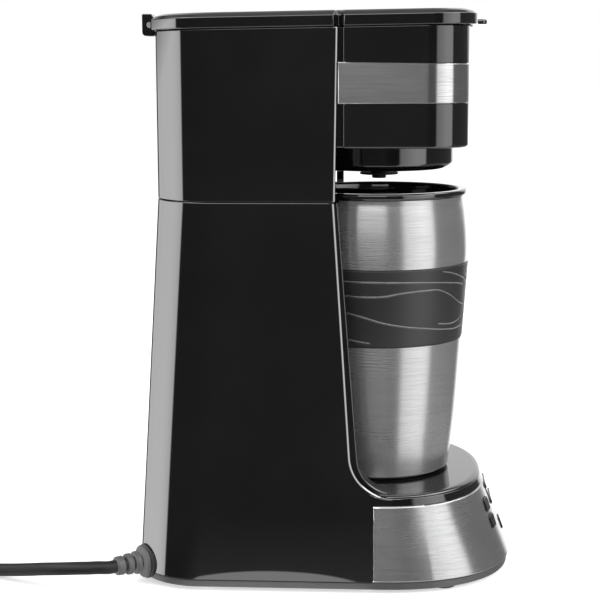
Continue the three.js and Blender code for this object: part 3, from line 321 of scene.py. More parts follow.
def block(x0, x1, y0, y1, z0, z1, edge=0.4):
    """A rectangular block with rounded edges."""
    part = cushion(soft_rectangle(x1 - x0, y1 - y0, edge, 3), z0, z1, edge, 3)
    return moved(part, Matrix.Translation(((x0 + x1) / 2, (y0 + y1) / 2, 0)))


def mesh_object(name, parts):
    """One mesh object from solids given in millimetres."""
    verts, faces = [], []
    for part_verts, part_faces in parts:
        first = len(verts)
        verts += [row(*v) for v in part_verts]
        faces += [tuple(first + i for i in face) for face in part_faces]
    mesh = bpy.data.meshes.new(name)
    mesh.from_pydata(verts, [], faces)
    shape = bmesh.new()
    shape.from_mesh(mesh)
    bmesh.ops.remove_doubles(shape, verts=shape.verts, dist=2e-6)
    bmesh.ops.dissolve_degenerate(shape, edges=shape.edges, dist=1e-6)
    bmesh.ops.recalc_face_normals(shape, faces=shape.faces)
    shape.to_mesh(mesh)
    shape.free()
    thing = bpy.data.objects.new(name, mesh)
    bpy.context.scene.collection.objects.link(thing)
    return thing


def carve(thing, *tools):
    """Cuts closed solids, given in millimetres, out of an object."""
    for i, part in enumerate(tools):
        tool = mesh_object(f"{thing.name}_tool_{i}", [part])
        cutter = thing.modifiers.new("carve", "BOOLEAN")
        cutter.operation = "DIFFERENCE"
        cutter.solver = "EXACT"
        cutter.object = tool
        graph = bpy.context.evaluated_depsgraph_get()
        mesh = bpy.data.meshes.new_from_object(thing.evaluated_get(graph))
        thing.modifiers.clear()
        thing.data = mesh
        bpy.data.objects.remove(tool)


def finish_piece(thing, finish, body, replaces=(), sharp=32, even=True):
    """Shades a piece, gives it its finish and fixes it to its body."""
    mesh = thing.data
    mesh.materials.clear()
    mesh.materials.append(finish)
    for face in mesh.polygons:
        face.use_smooth = True
    mesh.set_sharp_from_angle(angle=math.radians(sharp))
    if even:
        weights = thing.modifiers.new("even_shading", "WEIGHTED_NORMAL")
        weights.keep_sharp = True
        weights.weight = 100
    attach(thing, body)
    if replaces:
        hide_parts(*replaces)
    return thing


def second_finish(thing, finish, chosen):
    """Gives a second finish to the faces that chosen(across, y, z, normal) picks, in mm."""
    thing.data.materials.append(finish)
    for face in thing.data.polygons:
        across, y, z = (face.center - row(0, 0, 0)) / MM
        if chosen(across, y, z, face.normal):
            face.material_index = 1


def piece(name, parts, finish, body, replaces=(), sharp=32, even=True):
    return finish_piece(mesh_object(name, parts), finish, body, replaces, sharp, even)


# ---------------------------------------------------------------- materials
def node_group(name, inputs, outputs):
    """An empty shader group with named sockets; returns the group, its input and its output node."""
    group = bpy.data.node_groups.new(name, "ShaderNodeTree")
    for socket, kind, value in inputs:
        made = group.interface.new_socket(name=socket, in_out="INPUT", socket_type=kind)
        if value is not None:
            made.default_value = value
    for socket, kind in outputs:
        group.interface.new_socket(name=socket, in_out="OUTPUT", socket_type=kind)
    return group, group.nodes.new("NodeGroupInput"), group.nodes.new("NodeGroupOutput")


def add_node(tree, kind, inputs=(), **settings):
    """A shader node with its settings and its inputs, each a plain value or another node's output."""
    node = tree.nodes.new(kind)
    for name, value in settings.items():
        setattr(node, name, value)
    for socket, value in dict(inputs).items():
        if isinstance(value, bpy.types.NodeSocket):
            tree.links.new(value, node.inputs[socket])
        else:
            node.inputs[socket].default_value = value
    return node


def math_node(tree, operation, *values):
    return add_node(tree, "ShaderNodeMath", enumerate(values), operation=operation).outputs[0]


def noise(tree, vector, scale, detail=2.0, roughness=0.5):
    inputs = {"Detail": detail, "Roughness": roughness, "Scale": scale, "Vector": vector}
    return add_node(tree, "ShaderNodeTexNoise", inputs).outputs["Fac"]


def spread(tree, value, low, high, to_low=0.0, to_high=1.0):
    """Carries a value from one range to another, and holds it at the ends."""
    inputs = {"Value": value, "From Min": low, "From Max": high, "To Min": to_low, "To Max": to_high}
    return add_node(tree, "ShaderNodeMapRange", inputs).outputs["Result"]


def brushing_group():
    """Fine level scratches: long along the surface and thin across it."""
    group, inside, outside = node_group("brushing", [
        ("Position", "NodeSocketVector", None),
        ("Length", "NodeSocketFloat", 40.0),
        ("Fineness", "NodeSocketFloat", 1500.0),
    ], [("Scratch", "NodeSocketFloat"), ("Cloud", "NodeSocketFloat")])
    position, length, fineness = (inside.outputs[name] for name in ("Position", "Length", "Fineness"))
    stretch = add_node(group, "ShaderNodeCombineXYZ", {"X": length, "Y": length, "Z": fineness}).outputs[0]
    scaled = add_node(group, "ShaderNodeVectorMath", {0: position, 1: stretch},
                      operation="MULTIPLY").outputs[0]
    fine = noise(group, scaled, 1.0, 3.0, 0.65)
    coarse = noise(group, scaled, 0.31)
    both = math_node(group, "ADD", math_node(group, "MULTIPLY", fine, 0.85),
                     math_node(group, "MULTIPLY", coarse, 0.15))
    group.links.new(spread(group, both, 0.32, 0.68), outside.inputs["Scratch"])
    group.links.new(noise(group, position, 26.0), outside.inputs["Cloud"])
    return group


def moulding_group():
    """Moulded plastic or rubber: a slow waviness, a fine grain and a faint handling haze."""
    group, inside, outside = node_group("moulding", [
        ("Position", "NodeSocketVector", None),
        ("Grain", "NodeSocketFloat", 900.0),
    ], [("Wave", "NodeSocketFloat"), ("Grain", "NodeSocketFloat"), ("Haze", "NodeSocketFloat")])
    position = inside.outputs["Position"]
    group.links.new(noise(group, position, 55.0, 1.0, 0.4), outside.inputs["Wave"])
    group.links.new(noise(group, position, inside.outputs["Grain"], 3.0, 0.6), outside.inputs["Grain"])
    smear = noise(group, position, 18.0, 4.0, 0.62)
    group.links.new(spread(group, smear, 0.42, 0.72), outside.inputs["Haze"])
    return group


BRUSHING = brushing_group()
MOULDING = moulding_group()


def bare_material(name, colour, roughness, metallic=0.0):
    """A Principled material and the position on its piece."""
    material = bpy.data.materials.new(name)
    material.use_nodes = True
    material.diffuse_color = (*colour, 1)
    tree = material.node_tree
    shader = tree.nodes["Principled BSDF"]
    shader.inputs["Base Color"].default_value = (*colour, 1)
    shader.inputs["Roughness"].default_value = roughness
    shader.inputs["Metallic"].default_value = metallic
    place = tree.nodes.new("ShaderNodeTexCoord").outputs["Object"]
    return material, tree, shader, place


def tint(tree, shader, mask, dark, light):
    """Colours the surface between two tones by a mask."""
    tones = {"Factor": mask, "A": (*dark, 1), "B": (*light, 1)}
    mix = add_node(tree, "ShaderNodeMix", tones, data_type="RGBA")
    tree.links.new(mix.outputs["Result"], shader.inputs["Base Color"])


def relief(tree, shader, height, depth, strength=1.0):
    """Raises the surface by a height, depth metres from lowest to highest."""
    bump = add_node(tree, "ShaderNodeBump", {"Strength": strength, "Distance": depth, "Height": height})
    tree.links.new(bump.outputs["Normal"], shader.inputs["Normal"])


def plastic(name, dark, light, roughness, haze=0.04, wave=0.0, grain=0.0, grain_size=900.0, specular=0.5,
            index=1.5):
    """Moulded plastic or rubber, from high gloss to grained."""
    material, tree, shader, place = bare_material(name, light, roughness)
    shader.inputs["Specular IOR Level"].default_value = specular
    shader.inputs["IOR"].default_value = index
    mould = add_node(tree, "ShaderNodeGroup", node_tree=MOULDING)
    mould.inputs["Grain"].default_value = grain_size
    tree.links.new(place, mould.inputs["Position"])
    tint(tree, shader, mould.outputs["Haze"], dark, light)
    tree.links.new(spread(tree, mould.outputs["Haze"], 0.0, 1.0, roughness, roughness + haze),
                   shader.inputs["Roughness"])
    if grain:
        relief(tree, shader, mould.outputs["Grain"], grain, 0.8)
    elif wave:
        relief(tree, shader, mould.outputs["Wave"], wave)
    return material


def brushed(name, dark, light, roughness, length=60.0, fineness=2600.0, uneven=0.015, anisotropic=0.7,
            depth=0.00000003, metallic=0.74):
    """Steel brushed in level lines, so that highlights stretch up and down."""
    material, tree, shader, place = bare_material(name, light, roughness, metallic)
    shader.inputs["Anisotropic"].default_value = anisotropic
    shader.inputs["Anisotropic Rotation"].default_value = 0.25
    tangent = add_node(tree, "ShaderNodeTangent", direction_type="RADIAL", axis="Z")
    tree.links.new(tangent.outputs["Tangent"], shader.inputs["Tangent"])
    lines = add_node(tree, "ShaderNodeGroup", node_tree=BRUSHING)
    lines.inputs["Length"].default_value = length
    lines.inputs["Fineness"].default_value = fineness
    tree.links.new(place, lines.inputs["Position"])
    tint(tree, shader, lines.outputs["Scratch"], dark, light)
    rough = spread(tree, lines.outputs["Scratch"], 0.0, 1.0, roughness + uneven, roughness - uneven)
    cloud = spread(tree, lines.outputs["Cloud"], 0.35, 0.65, -0.015, 0.015)
    tree.links.new(math_node(tree, "ADD", rough, cloud), shader.inputs["Roughness"])
    relief(tree, shader, lines.outputs["Scratch"], depth, 0.6)
    return material


BLACK_DEEP = (0.0045, 0.0045, 0.0047)
BLACK_SOFT = (0.0075, 0.0075, 0.0078)
GLOSS = plastic("gloss_black_plastic", BLACK_DEEP, BLACK_SOFT, 0.03, haze=0.02, wave=0.000006, specular=1.0)
LINING = plastic("black_lining", BLACK_DEEP, BLACK_SOFT, 0.06, haze=0.04, wave=0.000006, specular=1.0)
MATT = plastic("matt_black_plastic", (0.02, 0.02, 0.021), (0.032, 0.032, 0.033), 0.5, haze=0.1,
               grain=0.00002, grain_size=1400.0)
PLATE = plastic("matt_grey_base", (0.07, 0.07, 0.071), (0.1, 0.1, 0.101), 0.42, haze=0.1,
                grain=0.00002, grain_size=1400.0)
RUBBER = plastic("grey_rubber", (0.019, 0.019, 0.02), (0.026, 0.026, 0.027), 0.37, haze=0.1,
                 grain=0.00003, grain_size=1600.0, specular=0.4)
# lighter rubber for the lips under the sleeve's grooves: a painted highlight
GROOVE_LIP_HIGHLIGHT = plastic("groove_lip_painted_highlight", (0.16, 0.16, 0.161), (0.24, 0.24, 0.241), 0.5, haze=0.1)
RELIEF_RUBBER = plastic("cord_relief_rubber", (0.085, 0.085, 0.086), (0.13, 0.13, 0.131), 0.5, haze=0.1,
                        grain=0.00003, grain_size=1500.0)
CORD_BLACK = plastic("cord_sheath", (0.009, 0.009, 0.0095), (0.014, 0.014, 0.0145), 0.45, haze=0.1,
                     grain=0.00001, grain_size=900.0, specular=0.25)
STEEL = brushed("brushed_steel", (0.34, 0.34, 0.344), (0.44, 0.44, 0.445), 0.26)
TRIM_STEEL = brushed("brushed_trim", (0.32, 0.32, 0.324), (0.47, 0.47, 0.475), 0.26, metallic=0.83)
BAND_STEEL = brushed("brushed_band", (0.34, 0.34, 0.344), (0.52, 0.52, 0.525), 0.17, metallic=0.92)
# near-white steel for the trim's edges: a painted highlight
TRIM_EDGE_HIGHLIGHT = brushed("trim_edge_painted_highlight", (0.85, 0.85, 0.855), (0.92, 0.92, 0.925), 0.32, metallic=0.95)
# black with a stronger reflection (index 2.1) for edge faces: a painted highlight along the column edge and
# the tank's nose
EDGE_HIGHLIGHT_GLOSS = plastic("edge_painted_highlight", BLACK_DEEP, BLACK_SOFT, 0.05, haze=0.03, specular=1.0, index=2.1)


# ---------------------------------------------------------------- outlines
def rear_at(z):
    """How far back the casing reaches at a height; it leans forward up to the seam."""
    return TANK_REAR + (BODY_REAR - TANK_REAR) * max(0.0, 1 - z / SEAM_Z)


def front_at(z):
    return BASE_FRONT - BASE_SLOPE * max(0.0, z - FOOT_KNEE_Z)


def lower_xy(column, z, inset=0.0):
    """Plan point of the lower casing for a column of its wall, on the +x side."""
    kind, value = column
    half = HALF_WIDTH - inset
    corner = REAR_CORNER - inset
    front = front_at(z) - inset
    power = 2 / FRONT_ROUNDNESS
    if kind == "front":
        return half * math.sin(value) ** power, -front * math.cos(value) ** power
    if kind == "corner":
        a = math.radians(value)
        return (half - corner + corner * math.cos(a),
                rear_at(z) - inset - corner + corner * math.sin(a))
    if value >= 0:
        return half, value
    share = min(1.0, -value / front)
    return half * (1 - share ** FRONT_ROUNDNESS) ** (1 / FRONT_ROUNDNESS), value


FRONT_TURN = math.radians(69.6)
FRONT_STEPS = 34
FRONT_COLUMNS = [("front", FRONT_TURN * i / FRONT_STEPS) for i in range(FRONT_STEPS + 1)]
CORNER_COLUMNS = [("corner", 90 * i / 28) for i in range(29)]


def whole_ring(half):
    """A full ring from the points of its +x half, which start at the front's middle."""
    return half + [(-x, y, z) for x, y, z in reversed(half[1:])]


class Cove:
    """Side view of a column edge: a raked line that sweeps forward into a flat."""

    def __init__(self, proud, floor, radius, rake):
        self.proud, self.floor, self.radius, self.rake = proud, floor, radius, rake
        self.lean = math.atan(rake)
        tangent = radius * math.tan((math.pi / 2 - self.lean) / 2)
        self.y = self.line(floor) - tangent
        self.z = floor + radius

    def line(self, z):
        return WING_TOP - self.proud - self.rake * (SEAM_Z - z)

    def on_arc(self, angle):
        """Point and outward normal (y, z) at an angle on the sweep, in degrees."""
        a = math.radians(angle)
        return ((self.y + self.radius * math.cos(a), self.z + self.radius * math.sin(a)),
                (-math.cos(a), -math.sin(a)))

    def arc(self, steps):
        last = -math.degrees(self.lean)
        return [self.on_arc(-90 + (last + 90) * i / steps) for i in range(steps + 1)]

    def y_at(self, z):
        top = self.z - self.radius * math.sin(self.lean)
        if z >= top:
            return self.line(z)
        return self.y + math.sqrt(max(0.0, self.radius ** 2 - (z - self.z) ** 2))

    def z_at(self, y):
        if y <= self.y:
            return self.floor
        return self.z - math.sqrt(max(0.0, self.radius ** 2 - (y - self.y) ** 2))


EDGE = Cove(0, COVE_Z, COVE_RADIUS, WING_RAKE)
LINING_EDGE = Cove(LINING_PROUD, DECK_Z, LINING_COVE, WING_RAKE + LINING_SPREAD)


# ---------------------------------------------------------------- lower casing
# an edge rounded by more than SHARP is flattened: it eats only EDGE_SHARE of that out of the side
EDGE_ROUND = 2.4
EDGE_SHARE = 0.46
SHARP = 0.6
SEAM_ROUND = 0.4


def case_columns():
    """Wall columns of half the casing: (column, rim point, rim normal, rim rounding, in the trim's seat)."""
    columns = [(c, None, (0, 1), 0.35, True) for c in FRONT_COLUMNS]
    for y, rounding in ((-17, 0.35), (-13, 0.5), (-10, 1.2)):
        columns.append((("flank", y), (y, COVE_Z), (0, 1), rounding, True))
    seat_end = TRIM_REAR + GAP
    passed = False
    for (y, z), normal in EDGE.arc(20):
        if y > seat_end and not passed:
            passed = True
            angle = -math.degrees(math.acos((seat_end - EDGE.y) / EDGE.radius))
            place, facing = EDGE.on_arc(angle)
            for seated in (True, False):
                columns.append((("flank", seat_end), place, facing, EDGE_ROUND * 0.9, seated))
        rounding = EDGE_ROUND * min(1.0, 0.5 + 0.05 * (y + 8.1))
        columns.append((("flank", y), (y, z), normal, rounding, y < seat_end))
    nose = SEAM_Z - SEAM_ROUND
    columns.append((("flank", WING_TOP), (WING_TOP, nose), (-1, 0), EDGE_ROUND, False))
    behind = WING_TOP + EDGE_ROUND + 0.3
    for y in (behind, 40, 60):
        columns.append((("flank", y), (y, SEAM_Z), (0, 1), SEAM_ROUND, False))
    columns += [(c, None, (0, 1), SEAM_ROUND, False) for c in CORNER_COLUMNS]
    return columns


def case_wall(entry):
    """Points of one wall column, from the inner foot up the outside and down the inside."""
    column, rim, (my, mz), rounding, seated = entry
    if rim is None:
        top = COVE_Z if column[0] == "front" else SEAM_Z
    else:
        top = rim[1]
    seat = TRIM_SKIN + GAP if seated else 0.0
    foot, shelf = CASE_FOOT, TRIM_HIGH + GAP
    share = EDGE_SHARE if rounding > SHARP else 1.0

    def at(z, inset):
        return (*lower_xy(column, z, inset), z)

    def at_rim(back, inset):
        """A point of the wall's rim, some way back from it against its normal."""
        if rim is None:
            return at(top - back, inset)
        y, z = rim[0] - back * my, rim[1] - back * mz
        return (*lower_xy(("flank", y), z, inset), z)

    points = [at(foot, LOWER_WALL), at(foot, seat + 0.3), at(foot + 0.3, seat), at(FOOT_KNEE_Z, seat),
              at(shelf, seat), at(shelf, 0.25 if seated else 0.0), at(shelf + 0.25, 0), at(44, 0)]
    points += [at_rim(back, inset * share) for back, inset in bend(rounding, 7)]
    return points + [at_rim(0, LOWER_WALL), at(43, LOWER_WALL), at(FOOT_KNEE_Z, LOWER_WALL)]


def lower_case():
    walls = [case_wall(entry) for entry in case_columns()]
    rings = [whole_ring(list(level)) for level in zip(*walls)]
    return mesh_object("lower_casing", [skin(rings, wrap=True)])


# ---------------------------------------------------------------- controls on the sloping front
def front_y(x, z):
    across = min(1.0, abs(x) / HALF_WIDTH)
    return -front_at(z) * (1 - across ** FRONT_ROUNDNESS) ** (1 / FRONT_ROUNDNESS)


def trim_frame(x, height):
    """Matrix for a piece drawn with +z pointing out of the trim at (x, height)."""
    step = 0.5

    def at(px, pz):
        return Vector((px, front_y(px, pz), pz))

    along = (at(x + step, height) - at(x - step, height)).normalized()
    up = (at(x, height + step) - at(x, height - step)).normalized()
    out = along.cross(up).normalized()
    matrix = Matrix((along, out.cross(along), out)).transposed().to_4x4()
    matrix.translation = at(x, height)
    return matrix


BUTTONS = [("hour_button", -21.5, 33.6), ("minute_button", -21.5, 25.4), ("program_button", 21.5, 33.6),
           ("auto_button", 21.5, 25.4), ("start_button", 0, 18.6)]
BUTTON_SIZE = 6.6
BUTTON_CORNER = 1.3
BUTTON_PROUD = 0.8
WINDOW_SIZE = (20, 11.6)
WINDOW_CORNER = 1.5
WINDOW_Z = 35.6
TRIM_EDGE = 0.45


def control_hole(width, tall, corner, x, height, deep):
    shape = cushion(soft_rectangle(width + 2 * GAP, tall + 2 * GAP, corner + GAP), -deep, 6, 0.05, 1)
    return moved(shape, trim_frame(x, height))


def control_holes(deep):
    places = [(BUTTON_SIZE, BUTTON_SIZE, BUTTON_CORNER, x, height) for node, x, height in BUTTONS]
    places.append((*WINDOW_SIZE, WINDOW_CORNER, 0, WINDOW_Z))
    return [control_hole(*place, deep) for place in places]


def button(x, height):
    outline = soft_rectangle(BUTTON_SIZE, BUTTON_SIZE, BUTTON_CORNER)
    cap = cushion(outline, -5, BUTTON_PROUD, 0.45)
    return moved(cap, trim_frame(x, height))


def display_window():
    """Clock window: flat glass between a proud upper and a proud lower bar."""
    wide, tall = WINDOW_SIZE
    place = trim_frame(0, WINDOW_Z)
    frame_line = soft_rectangle(wide, tall, WINDOW_CORNER)
    levels = [(0, -TRIM_SKIN - 0.4), (0, -0.15), (0.1, 0), (0.2, 0.05)]
    parts = [moved(skin([flat_ring(frame_line(inset), level) for inset, level in levels]), place)]
    bar_tall, bar_margin = 3.0, 0.4
    for side in (-1, 1):
        bar = cushion(soft_rectangle(wide - bar_margin, bar_tall, 1.2), -0.6, 0.6, 0.35)
        shift = Matrix.Translation((0, side * (tall - bar_tall - bar_margin) / 2, 0))
        parts.append(moved(bar, place @ shift))
    return parts


def both_sides(half):
    """Columns from the +x rear round the front to the -x rear, each with the sign of its side."""
    return [(1, c) for c in half] + [(-1, c) for c in reversed(half[:-1])]


def base_trim():
    side = [("flank", y) for y in (TRIM_REAR, TRIM_REAR - TRIM_EDGE, -3, -7, -12, -17)]
    columns = both_sides(side + list(reversed(FRONT_COLUMNS)))
    heights = [TRIM_LOW, TRIM_LOW + TRIM_EDGE, FOOT_KNEE_Z, 16, 25, 34, TRIM_HIGH - TRIM_EDGE, TRIM_HIGH]

    def point(column, z, depth):
        sign, c = column
        x, y = lower_xy(c, z, depth)
        return sign * x, y, z

    return grid_plate(columns, heights, point, TRIM_EDGE, TRIM_SKIN)


# ---------------------------------------------------------------- lining and deck
def deck():
    """Deck under the mug, with its rounded lip round the front."""
    lip_low, lip_out, lip_in = 46.8, 0.15, 2.9
    tall = DECK_Z - lip_low

    def inset_at(z):
        s = max(0.0, min(1.0, (z - lip_low) / tall))
        return lip_out + (lip_in - lip_out) * (1 - math.sqrt(1 - s * s))

    flank = [-17, -13, -10, -8, -6, -4.5, -3, -2, -1.2, -0.7]
    walls = []
    for column in FRONT_COLUMNS + [("flank", y) for y in flank]:
        low = lip_low
        if column[0] == "flank":
            low = min(max(lip_low, EDGE.z_at(column[1]) + GAP), DECK_Z - 0.02)
        wall = [(*lower_xy(column, 45.6, 3.6), 45.6), (*lower_xy(column, low, inset_at(low) + 1), low)]
        for s in range(9):
            z = low + (DECK_Z - low) * math.sin(math.pi / 2 * s / 8)
            wall.append((*lower_xy(column, z, inset_at(z)), z))
        walls.append(wall)
    levels = [p[2] for p in walls[0]]
    for x, y in [(54, 1.0)] + polar(0, 0, RECESS_RADIUS + 1, 10, 88, 20):
        walls.append([(x, y, z) for z in levels])
    return skin([whole_ring(list(level)) for level in zip(*walls)])


def lining_wing(side):
    """Proud edge of the lining on one side: down the column, round the cove and onto the deck."""
    cove = LINING_EDGE
    stations = [((-15.0, DECK_Z - 0.35), (0, 1)), ((-12.0, DECK_Z - 0.08), (0, 1))]
    stations += cove.arc(22)
    facing = (-math.cos(cove.lean), math.sin(cove.lean))
    top = SEAM_Z - GAP
    stations += [((cove.line(z), z), facing) for z in (80, 110, 150, top)]
    outside = LOWER_WALL + GAP
    outer_round, inner_round, deep, steps = 0.8, 1.6, 6, 6
    rings = []
    for (y, z), (my, mz) in stations:
        inner = math.sqrt(RECESS_RADIUS ** 2 - y * y)
        ring = []

        def add(depth, inset=None, x=None):
            py, pz = y - depth * my, z - depth * mz
            if x is None:
                x = lower_xy(("flank", py), pz, inset)[0]
            ring.append((side * x, py, pz))

        add(deep, outside)
        for back, rise in bend(outer_round, steps):
            add(back, outside + rise)
        for back, rise in reversed(bend(inner_round, steps)):
            add(back, x=inner + rise)
        add(deep, x=inner)
        rings.append(ring)
    return skin(rings)


def lining_hollow():
    """Round wall behind the mug."""
    rings = []
    for z in (47.4, 48, 48.6, 50, 52, 55, 59, 64, 80, 120, SEAM_Z - GAP):
        start = math.degrees(math.asin((LINING_EDGE.y_at(max(z, DECK_Z)) + 1.4) / RECESS_RADIUS))
        inner = polar(0, 0, RECESS_RADIUS, start, 180 - start, 72)
        outer = polar(0, 0, RECESS_RADIUS + 2.5, 180 - start, start, 72)
        rings.append(flat_ring(inner + outer, z))
    return skin(rings)


# ---------------------------------------------------------------- base plate, feet and screws
FEET = [f"foot_{i}" for i in (1, 2, 3, 4)]
SCREWS = [f"base_screw_{i}" for i in (1, 2, 3, 4)]


def middle(node):
    low, high = edges(node)
    return (low[0] + high[0]) / 2, (low[1] + high[1]) / 2


def base_plate():
    columns = FRONT_COLUMNS + [("flank", y) for y in (-17, -10, 0, 30, 60)] + CORNER_COLUMNS

    def ring(inset, z):
        return whole_ring([(*lower_xy(c, 0, PLATE_INSET + inset), z) for c in columns])

    low, high = PLATE_UNDERSIDE, PLATE_TOP
    rings = [ring(inset, low + rise) for inset, rise in bend(0.7, 5)]
    rings += [ring(0, high - 0.3), ring(0.3, high), ring(5, high), ring(5, low + 2.5)]
    thing = mesh_object("base_underside", [skin(rings)])
    for node in SCREWS:
        x, y = middle(node)
        carve(thing, rod(3.4, (x, y, 0), (x, y, low + 1.6), 0.05, 32))
    return thing


def foot(node):
    x, y = middle(node)
    low, high = edges(node)
    radius = (high[0] - low[0]) / 2
    top = PLATE_UNDERSIDE + 0.3
    profile = rounded([(0, low[2], 0), (radius - 0.3, low[2], 0.9), (radius, top, 0.3), (0, top, 0)], 5)
    return lathe(profile, 48, x, y)


def screw(node):
    """Round head with a cross recess, sunk in the underside."""
    x, y = middle(node)
    low = PLATE_UNDERSIDE + 0.2
    thing = mesh_object(node + "_head", [lathe(rounded([
        (0, low, 0), (3.0, low + 0.25, 0.5), (3.1, low + 1.1, 0.1), (1.5, low + 1.1, 0),
        (1.5, 15, 0), (0, 16, 0)], 4), 36, x, y)])
    for wide, deep in ((0.45, 1.6), (1.6, 0.45)):
        carve(thing, block(x - wide, x + wide, y - deep, y + deep, low - 1, low + 0.75, 0.05))
    return thing


# ---------------------------------------------------------------- upper casings
def rise(y):
    return LID_RISE * (TANK_REAR - y) / (TANK_REAR + HEAD_FRONT)


def rim_ring(outline, offset):
    return [(x, y, RIM_Z + offset + rise(y)) for x, y in outline]


def tank_outline(inset=0.0):
    half = HALF_WIDTH - inset
    corner = REAR_CORNER - inset
    nose = max(0.6, TANK_NOSE - inset)
    hollow = RECESS_RADIUS + inset
    front = TANK_FRONT + inset
    tip = math.degrees(math.asin(front / hollow))
    right = polar(0, 0, hollow, 89, tip, 26)
    right += [(half - nose * EDGE_SHARE * (1 - math.cos(a)), front + nose * (1 + math.sin(a)))
              for a in (math.pi / 2 * (s / 8 - 1) for s in range(9))]
    right += polar(half - corner, TANK_REAR - inset - corner, corner, 0, 90, 28)
    return mirrored(right)


def rim_rounding(outline, edge=0.4, steps=3):
    """Rings that round a wall's outer rim edge and then its inner one."""
    turns = bend(edge, steps)
    outer = [rim_ring(outline(rise), -inset) for inset, rise in turns]
    return outer + [rim_ring(outline(WALL - rise), -inset) for inset, rise in reversed(turns)]


def tank_case():
    foot = SEAM_Z + GAP
    rings = [flat_ring(tank_outline(inset), foot + rise) for inset, rise in bend(SEAM_ROUND, 4)]
    rings += rim_rounding(tank_outline)
    rings.append(flat_ring(tank_outline(WALL), foot + WALL))
    points, faces = skin(rings)

    def leaned(x, y, z):
        front = max(0.0, min(1.0, (TANK_FRONT + 12 - y) / 6)) * (abs(x) > RECESS_RADIUS - 1)
        return x, y - TANK_LEAN * front * (z - SEAM_Z) / (RIM_Z - SEAM_Z), z

    return [([leaned(*point) for point in points], faces)]


def hinge_lugs():
    """Square lugs that stand off the rear wall and hold the lid's pin."""
    near, far = KNUCKLE_SPAN / 2 + 0.4, HINGE_SPAN / 2
    y0, y1, tall = TANK_REAR + 1.3, TANK_REAR + 7.0, 5.1
    parts = []
    for side in (-1, 1):
        x0, x1 = sorted((side * near, side * far))
        rings = []
        for x, inset in ((x0, 0.35), (x0 + 0.12, 0.1), (x0 + 0.35, 0),
                         (x1 - 0.35, 0), (x1 - 0.12, 0.1), (x1, 0.35)):
            rear, front = y1 - inset, y0 + inset
            low, high = HINGE_Z - tall + inset, HINGE_Z + tall - inset
            shape = rounded([(front, low, 0.5), (rear, low, 1.7), (rear, high, 0.6),
                             (front + 1.2, high, 0.8), (front, high - 2, 1.0)], 5)
            rings.append([(x, y, z) for y, z in shape])
        parts.append(skin(rings))
        parts.append(block(x0 + 0.6, x1 - 0.6, TANK_REAR - 1, y0 + 1, HINGE_Z - HINGE_LUG, RIM_Z - 0.4, 0.1))
    return parts


def bowed_front(shoulder, side_front, corner):
    """Right half of a slightly bowed front and its round corner."""
    right = [(shoulder * s / 12, side_front - HEAD_BOW * (1 - (s / 12) ** 2)) for s in range(1, 12)]
    return right + polar(shoulder, side_front + corner, corner, -90, 0, 28)


def head_outline(inset=0.0):
    half = HALF_WIDTH - inset
    corner = HEAD_CORNER - inset
    side_front = -(HEAD_FRONT - HEAD_BOW - inset)
    back = RECESS_RADIUS - GAP - inset
    neck_y = TANK_FRONT - GAP - inset
    shoulder = half - corner
    tip = math.degrees(math.asin(neck_y / back))
    nose = max(0.4, 1.0 - inset)
    right = bowed_front(shoulder, side_front, corner)
    right += polar(half - nose, HEAD_REAR - inset - nose, nose, 0, 90, 5)
    right += [(half - HEAD_NECK, HEAD_REAR - inset), (half - HEAD_NECK, neck_y)]
    right += polar(0, 0, back, tip, 89, 26)
    return [(0, side_front - HEAD_BOW)] + mirrored(right)


def band_top(y, offset=0.0):
    return BAND_HIGH + offset - BAND_DROP * (HEAD_REAR - y) / (HEAD_REAR + HEAD_FRONT)


def head_case():
    hole = BASKET_SPIGOT + 0.6
    plain = head_outline()
    circle = [(x / math.hypot(x, y) * hole, y / math.hypot(x, y) * hole) for x, y in plain]
    deep = head_outline(BAND_SKIN - BAND_PROUD + GAP)
    soft = head_outline(0.15)

    def in_seat(x, y):
        return y < 0 or y < HEAD_REAR - 0.2 and abs(x) > HALF_WIDTH - 1.5

    def banded(height_at, chosen):
        ring = [there if in_seat(*here) else here for here, there in zip(plain, chosen)]
        return [(x, y, height_at(y)) for x, y in ring]

    rings = [flat_ring(circle, HEAD_BOTTOM + WALL), flat_ring(circle, HEAD_BOTTOM)]
    rings += [flat_ring(head_outline(inset), HEAD_BOTTOM + rise) for inset, rise in bend(1.3, 5)]
    low, bevel = BAND_LOW - GAP, 0.15
    for height, chosen in ((low - bevel, plain), (low, soft), (low, deep)):
        rings.append(banded(lambda y: height, chosen))
    for above, chosen in ((GAP, deep), (GAP, soft), (GAP + bevel, plain)):
        rings.append(banded(lambda y: band_top(y, above), chosen))
    rings += rim_rounding(head_outline)
    rings.append(flat_ring(head_outline(WALL), HEAD_BOTTOM + WALL))
    return skin(rings, wrap=True)


def head_band():
    edge = 0.25
    corner = HEAD_CORNER
    side_front = -(HEAD_FRONT - HEAD_BOW)
    shoulder = HALF_WIDTH - corner
    half = [("side", y) for y in (HEAD_REAR + BAND_REACH, HEAD_REAR + BAND_REACH - edge, 8, -6, -18)]
    half += [("turn", -90 * s / 28) for s in range(29)]
    half += [("bow", 1 - s / 12) for s in range(1, 13)]

    def point(column, share, depth):
        sign, (kind, value) = column
        inset = depth - BAND_PROUD
        if kind == "side":
            x, y = HALF_WIDTH - inset, value
        elif kind == "turn":
            a = math.radians(value)
            r = corner - inset
            x, y = shoulder + r * math.cos(a), side_front + corner + r * math.sin(a)
        else:
            x, y = shoulder * value, side_front + inset - HEAD_BOW * (1 - value ** 2)
        high = band_top(y)
        z = {"low": BAND_LOW, "low_in": BAND_LOW + edge, "high_in": high - edge, "high": high}[share]
        return sign * x, y, z

    return grid_plate(both_sides(half), ["low", "low_in", "high_in", "high"], point, edge, BAND_SKIN)


